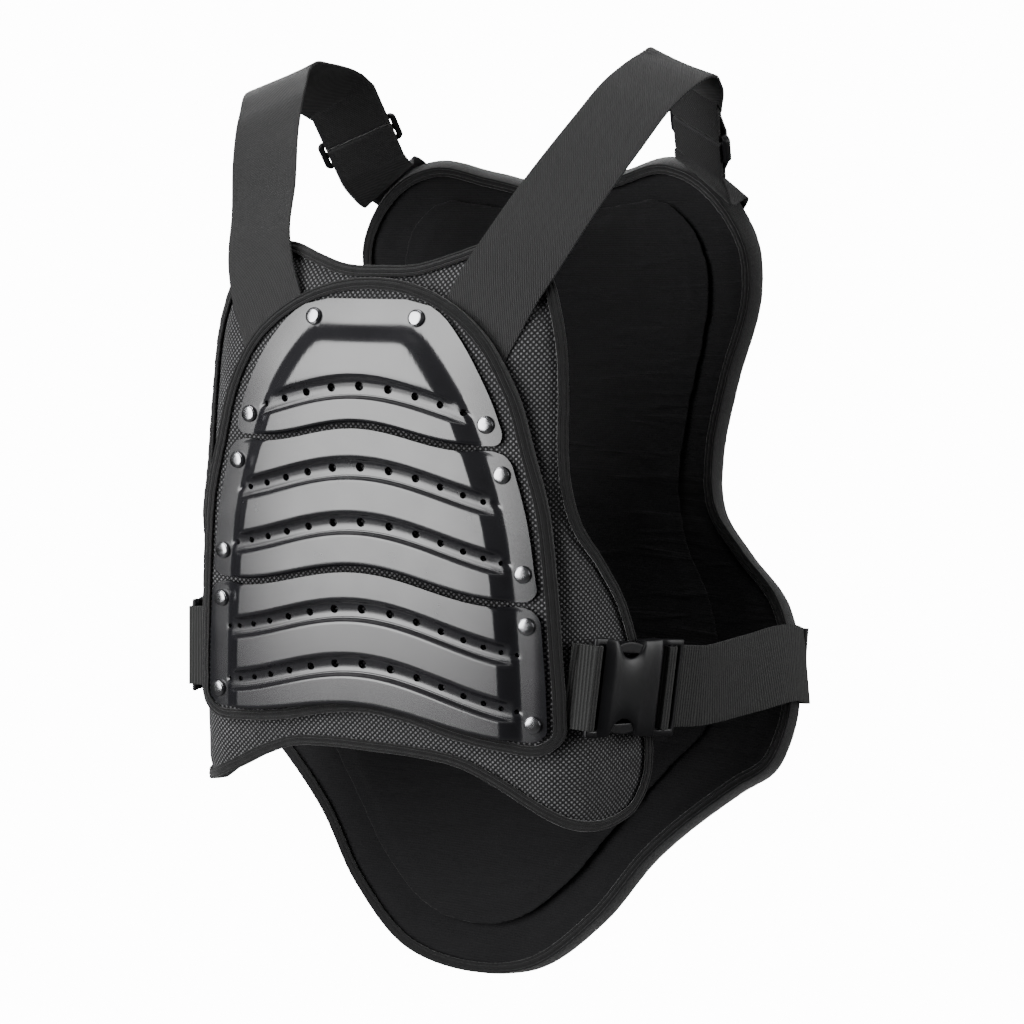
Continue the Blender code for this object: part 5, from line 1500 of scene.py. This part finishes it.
def make_belt():
    """Half the belt, from the right plug to the middle of the back, and its mirror image."""
    middle = (sum(PLUG_BARS[1]) / 2, 0.0)
    last_from, last_to = PLUG_BARS[2]
    under = -BAR_LIFT - WEB_THICK - SEAM_GAP
    tail = [(last_to + BELT_TAIL, under), (PLUG_BARS[1][1] + WEB_OFF, under)]
    main = [(PLUG_BARS[1][1] + WEB_OFF * 2, -BAR_LIFT * 0.75), (last_from, -BAR_LIFT),
            (last_to, -BAR_LIFT), (last_to + BELT_TAIL, -BAR_LIFT)]
    turned = round_bar(middle, -1, -1) + round_bar(middle, 1, 1)[:3]
    held = [buckle @ Vector((along, 0.0, lift)) for along, lift in tail + turned + main]
    upright = buckle.col[1].to_3d()
    ends = [BELT_HEIGHT + side * WEB_WIDTH / 2 for side in (-1, 1)]
    low, high = [back_point(half_width_at(back_edge, up), up, -BACK_THICK / 2) for up in ends]
    tilt = (high - low).normalized()
    edge = half_width_at(back_edge, BELT_HEIGHT)
    clear = 3 * SEAM_GAP + WEB_OFF
    lie = BACK_THICK + TAPE_THICK + 3 * SEAM_GAP + clear
    corner = ((edge + clear, TAPE_THICK + SEAM_GAP), (edge + clear, -BACK_THICK),
              (edge + clear * 0.7, clear * 0.3 - lie), (edge - clear, -lie))
    points = held[-2:] + [back_point(out, BELT_HEIGHT, depth) for out, depth in corner]
    points.insert(2, held[-1].lerp(points[2], 0.5))
    points += [back_point(edge * share, BELT_HEIGHT, -lie) for share in BELT_SHARES]
    free = smooth_line(points)[8:]
    free[-1][0] = 0.0
    shares = shares_along(free)
    corner_at = shares[int(np.argmax(free[:, 0]))]
    sides = [upright] * len(held)
    for share, point in zip(shares[1:], free[1:]):
        if share <= corner_at:
            sides.append(upright.lerp(tilt, share / corner_at))
        else:
            rise = back_point(point[0], ends[1], -lie) - back_point(point[0], ends[0], -lie)
            rise.x = tilt.x * rise.length * (point[0] / edge)**4
            sides.append(rise.normalized())
    path, sides = np.array([*held, *free[1:]], float), np.array(sides, float)
    path = np.vstack([path, path[-2::-1] * (-1.0, 1.0, 1.0)])
    sides = np.vstack([sides, sides[-2::-1] * (-1.0, 1.0, 1.0)])
    return lay_webbing(path, sides)


keep_piece(make_belt(), "waist_belt_elastic", "elastic", ["waist_belt"], angle=50)

# %% [markdown]
# ## Floor, light and camera
#
# The studio is plain: a pale floor that meets a pale sky, and four large soft lights. The plates
# mirror the strongest one, in front on the left. One stands on the right, one hangs above and
# one stands behind. The camera is where the photograph was taken from.

# %% Floor
FLOOR_HEIGHT, FLOOR_REACH = -1.4, 12.0
AMBIENT, BACKDROP_GLOW = 0.10, 14.0
fresh()
bpy.ops.mesh.primitive_plane_add(size=1.0, location=(0, 0, 0))
floor = bpy.context.object
floor.name = "studio_floor"
put_at(floor, [(x * FLOOR_REACH, y * FLOOR_REACH, FLOOR_HEIGHT)
               for x, y in ((-1, -1), (1, -1), (-1, 1), (1, 1))])
paper, paper_tree, paper_shader = new_finish("pale_paper", 0.9, specular=0.1)
paper_shader.inputs["Base Color"].default_value = (0.10, 0.10, 0.10, 1.0)
glow = add_node(paper_tree, "ShaderNodeLightPath")
paper_shader.inputs["Emission Strength"].default_value = BACKDROP_GLOW
paper_tree.links.new(mix_colour(paper_tree, glow.outputs["Is Camera Ray"], (0.0, 0.0, 0.0),
                                (1.0, 1.0, 1.0)), paper_shader.inputs["Emission Color"])
floor.data.materials.append(paper)

# %% Light
world = bpy.data.worlds.new("studio_world")
bpy.context.scene.world = world
world.use_nodes = True
sky = world.node_tree.nodes["Background"]
ray = add_node(world.node_tree, "ShaderNodeLightPath")
seen = fed_node(world.node_tree, ray.outputs["Is Camera Ray"], "ShaderNodeMapRange",
                {3: AMBIENT, 4: BACKDROP_GLOW})
world.node_tree.links.new(seen.outputs[0], sky.inputs["Strength"])
sky.inputs["Color"].default_value = (1, 1, 1, 1)
MIDDLE = (0.0, -0.08, -0.30)
LIGHTS = (
    # name, place, width and height in metres, power in watts
    ("key_light", (-0.80, -1.75, 0.17), (1.2, 2.0), 64),
    ("fill_light", (2.3, 0.50, 0.3), (1.2, 1.6), 36),
    ("top_light", (0.2, 0.2, 1.8), (1.6, 1.6), 20),
    ("back_light", (-1.4, 1.6, 0.9), (1.2, 1.2), 22),
)


def soft_light(name, place, size, power):
    """A large area light that faces the middle of the vest."""
    data = bpy.data.lights.new(name, "AREA")
    data.shape = "RECTANGLE"
    data.size, data.size_y = size
    data.energy = power
    light = bpy.data.objects.new(name, data)
    bpy.context.scene.collection.objects.link(light)
    light.location = place
    way = Vector(MIDDLE) - Vector(place)
    light.rotation_euler = way.to_track_quat("-Z", "Y").to_euler()


for light_row in LIGHTS:
    soft_light(*light_row)

# %% Camera
camera_data = bpy.data.cameras.new("photo_camera")
camera = bpy.data.objects.new("photo_camera", camera_data)
bpy.context.scene.collection.objects.link(camera)
camera.location = (0.5548, -1.1298, -0.0984)
camera.rotation_euler = (math.radians(81.5), 0.0, math.radians(25.0))
camera_data.lens = 67.1
camera_data.sensor_width = 36.0
bpy.context.scene.camera = camera
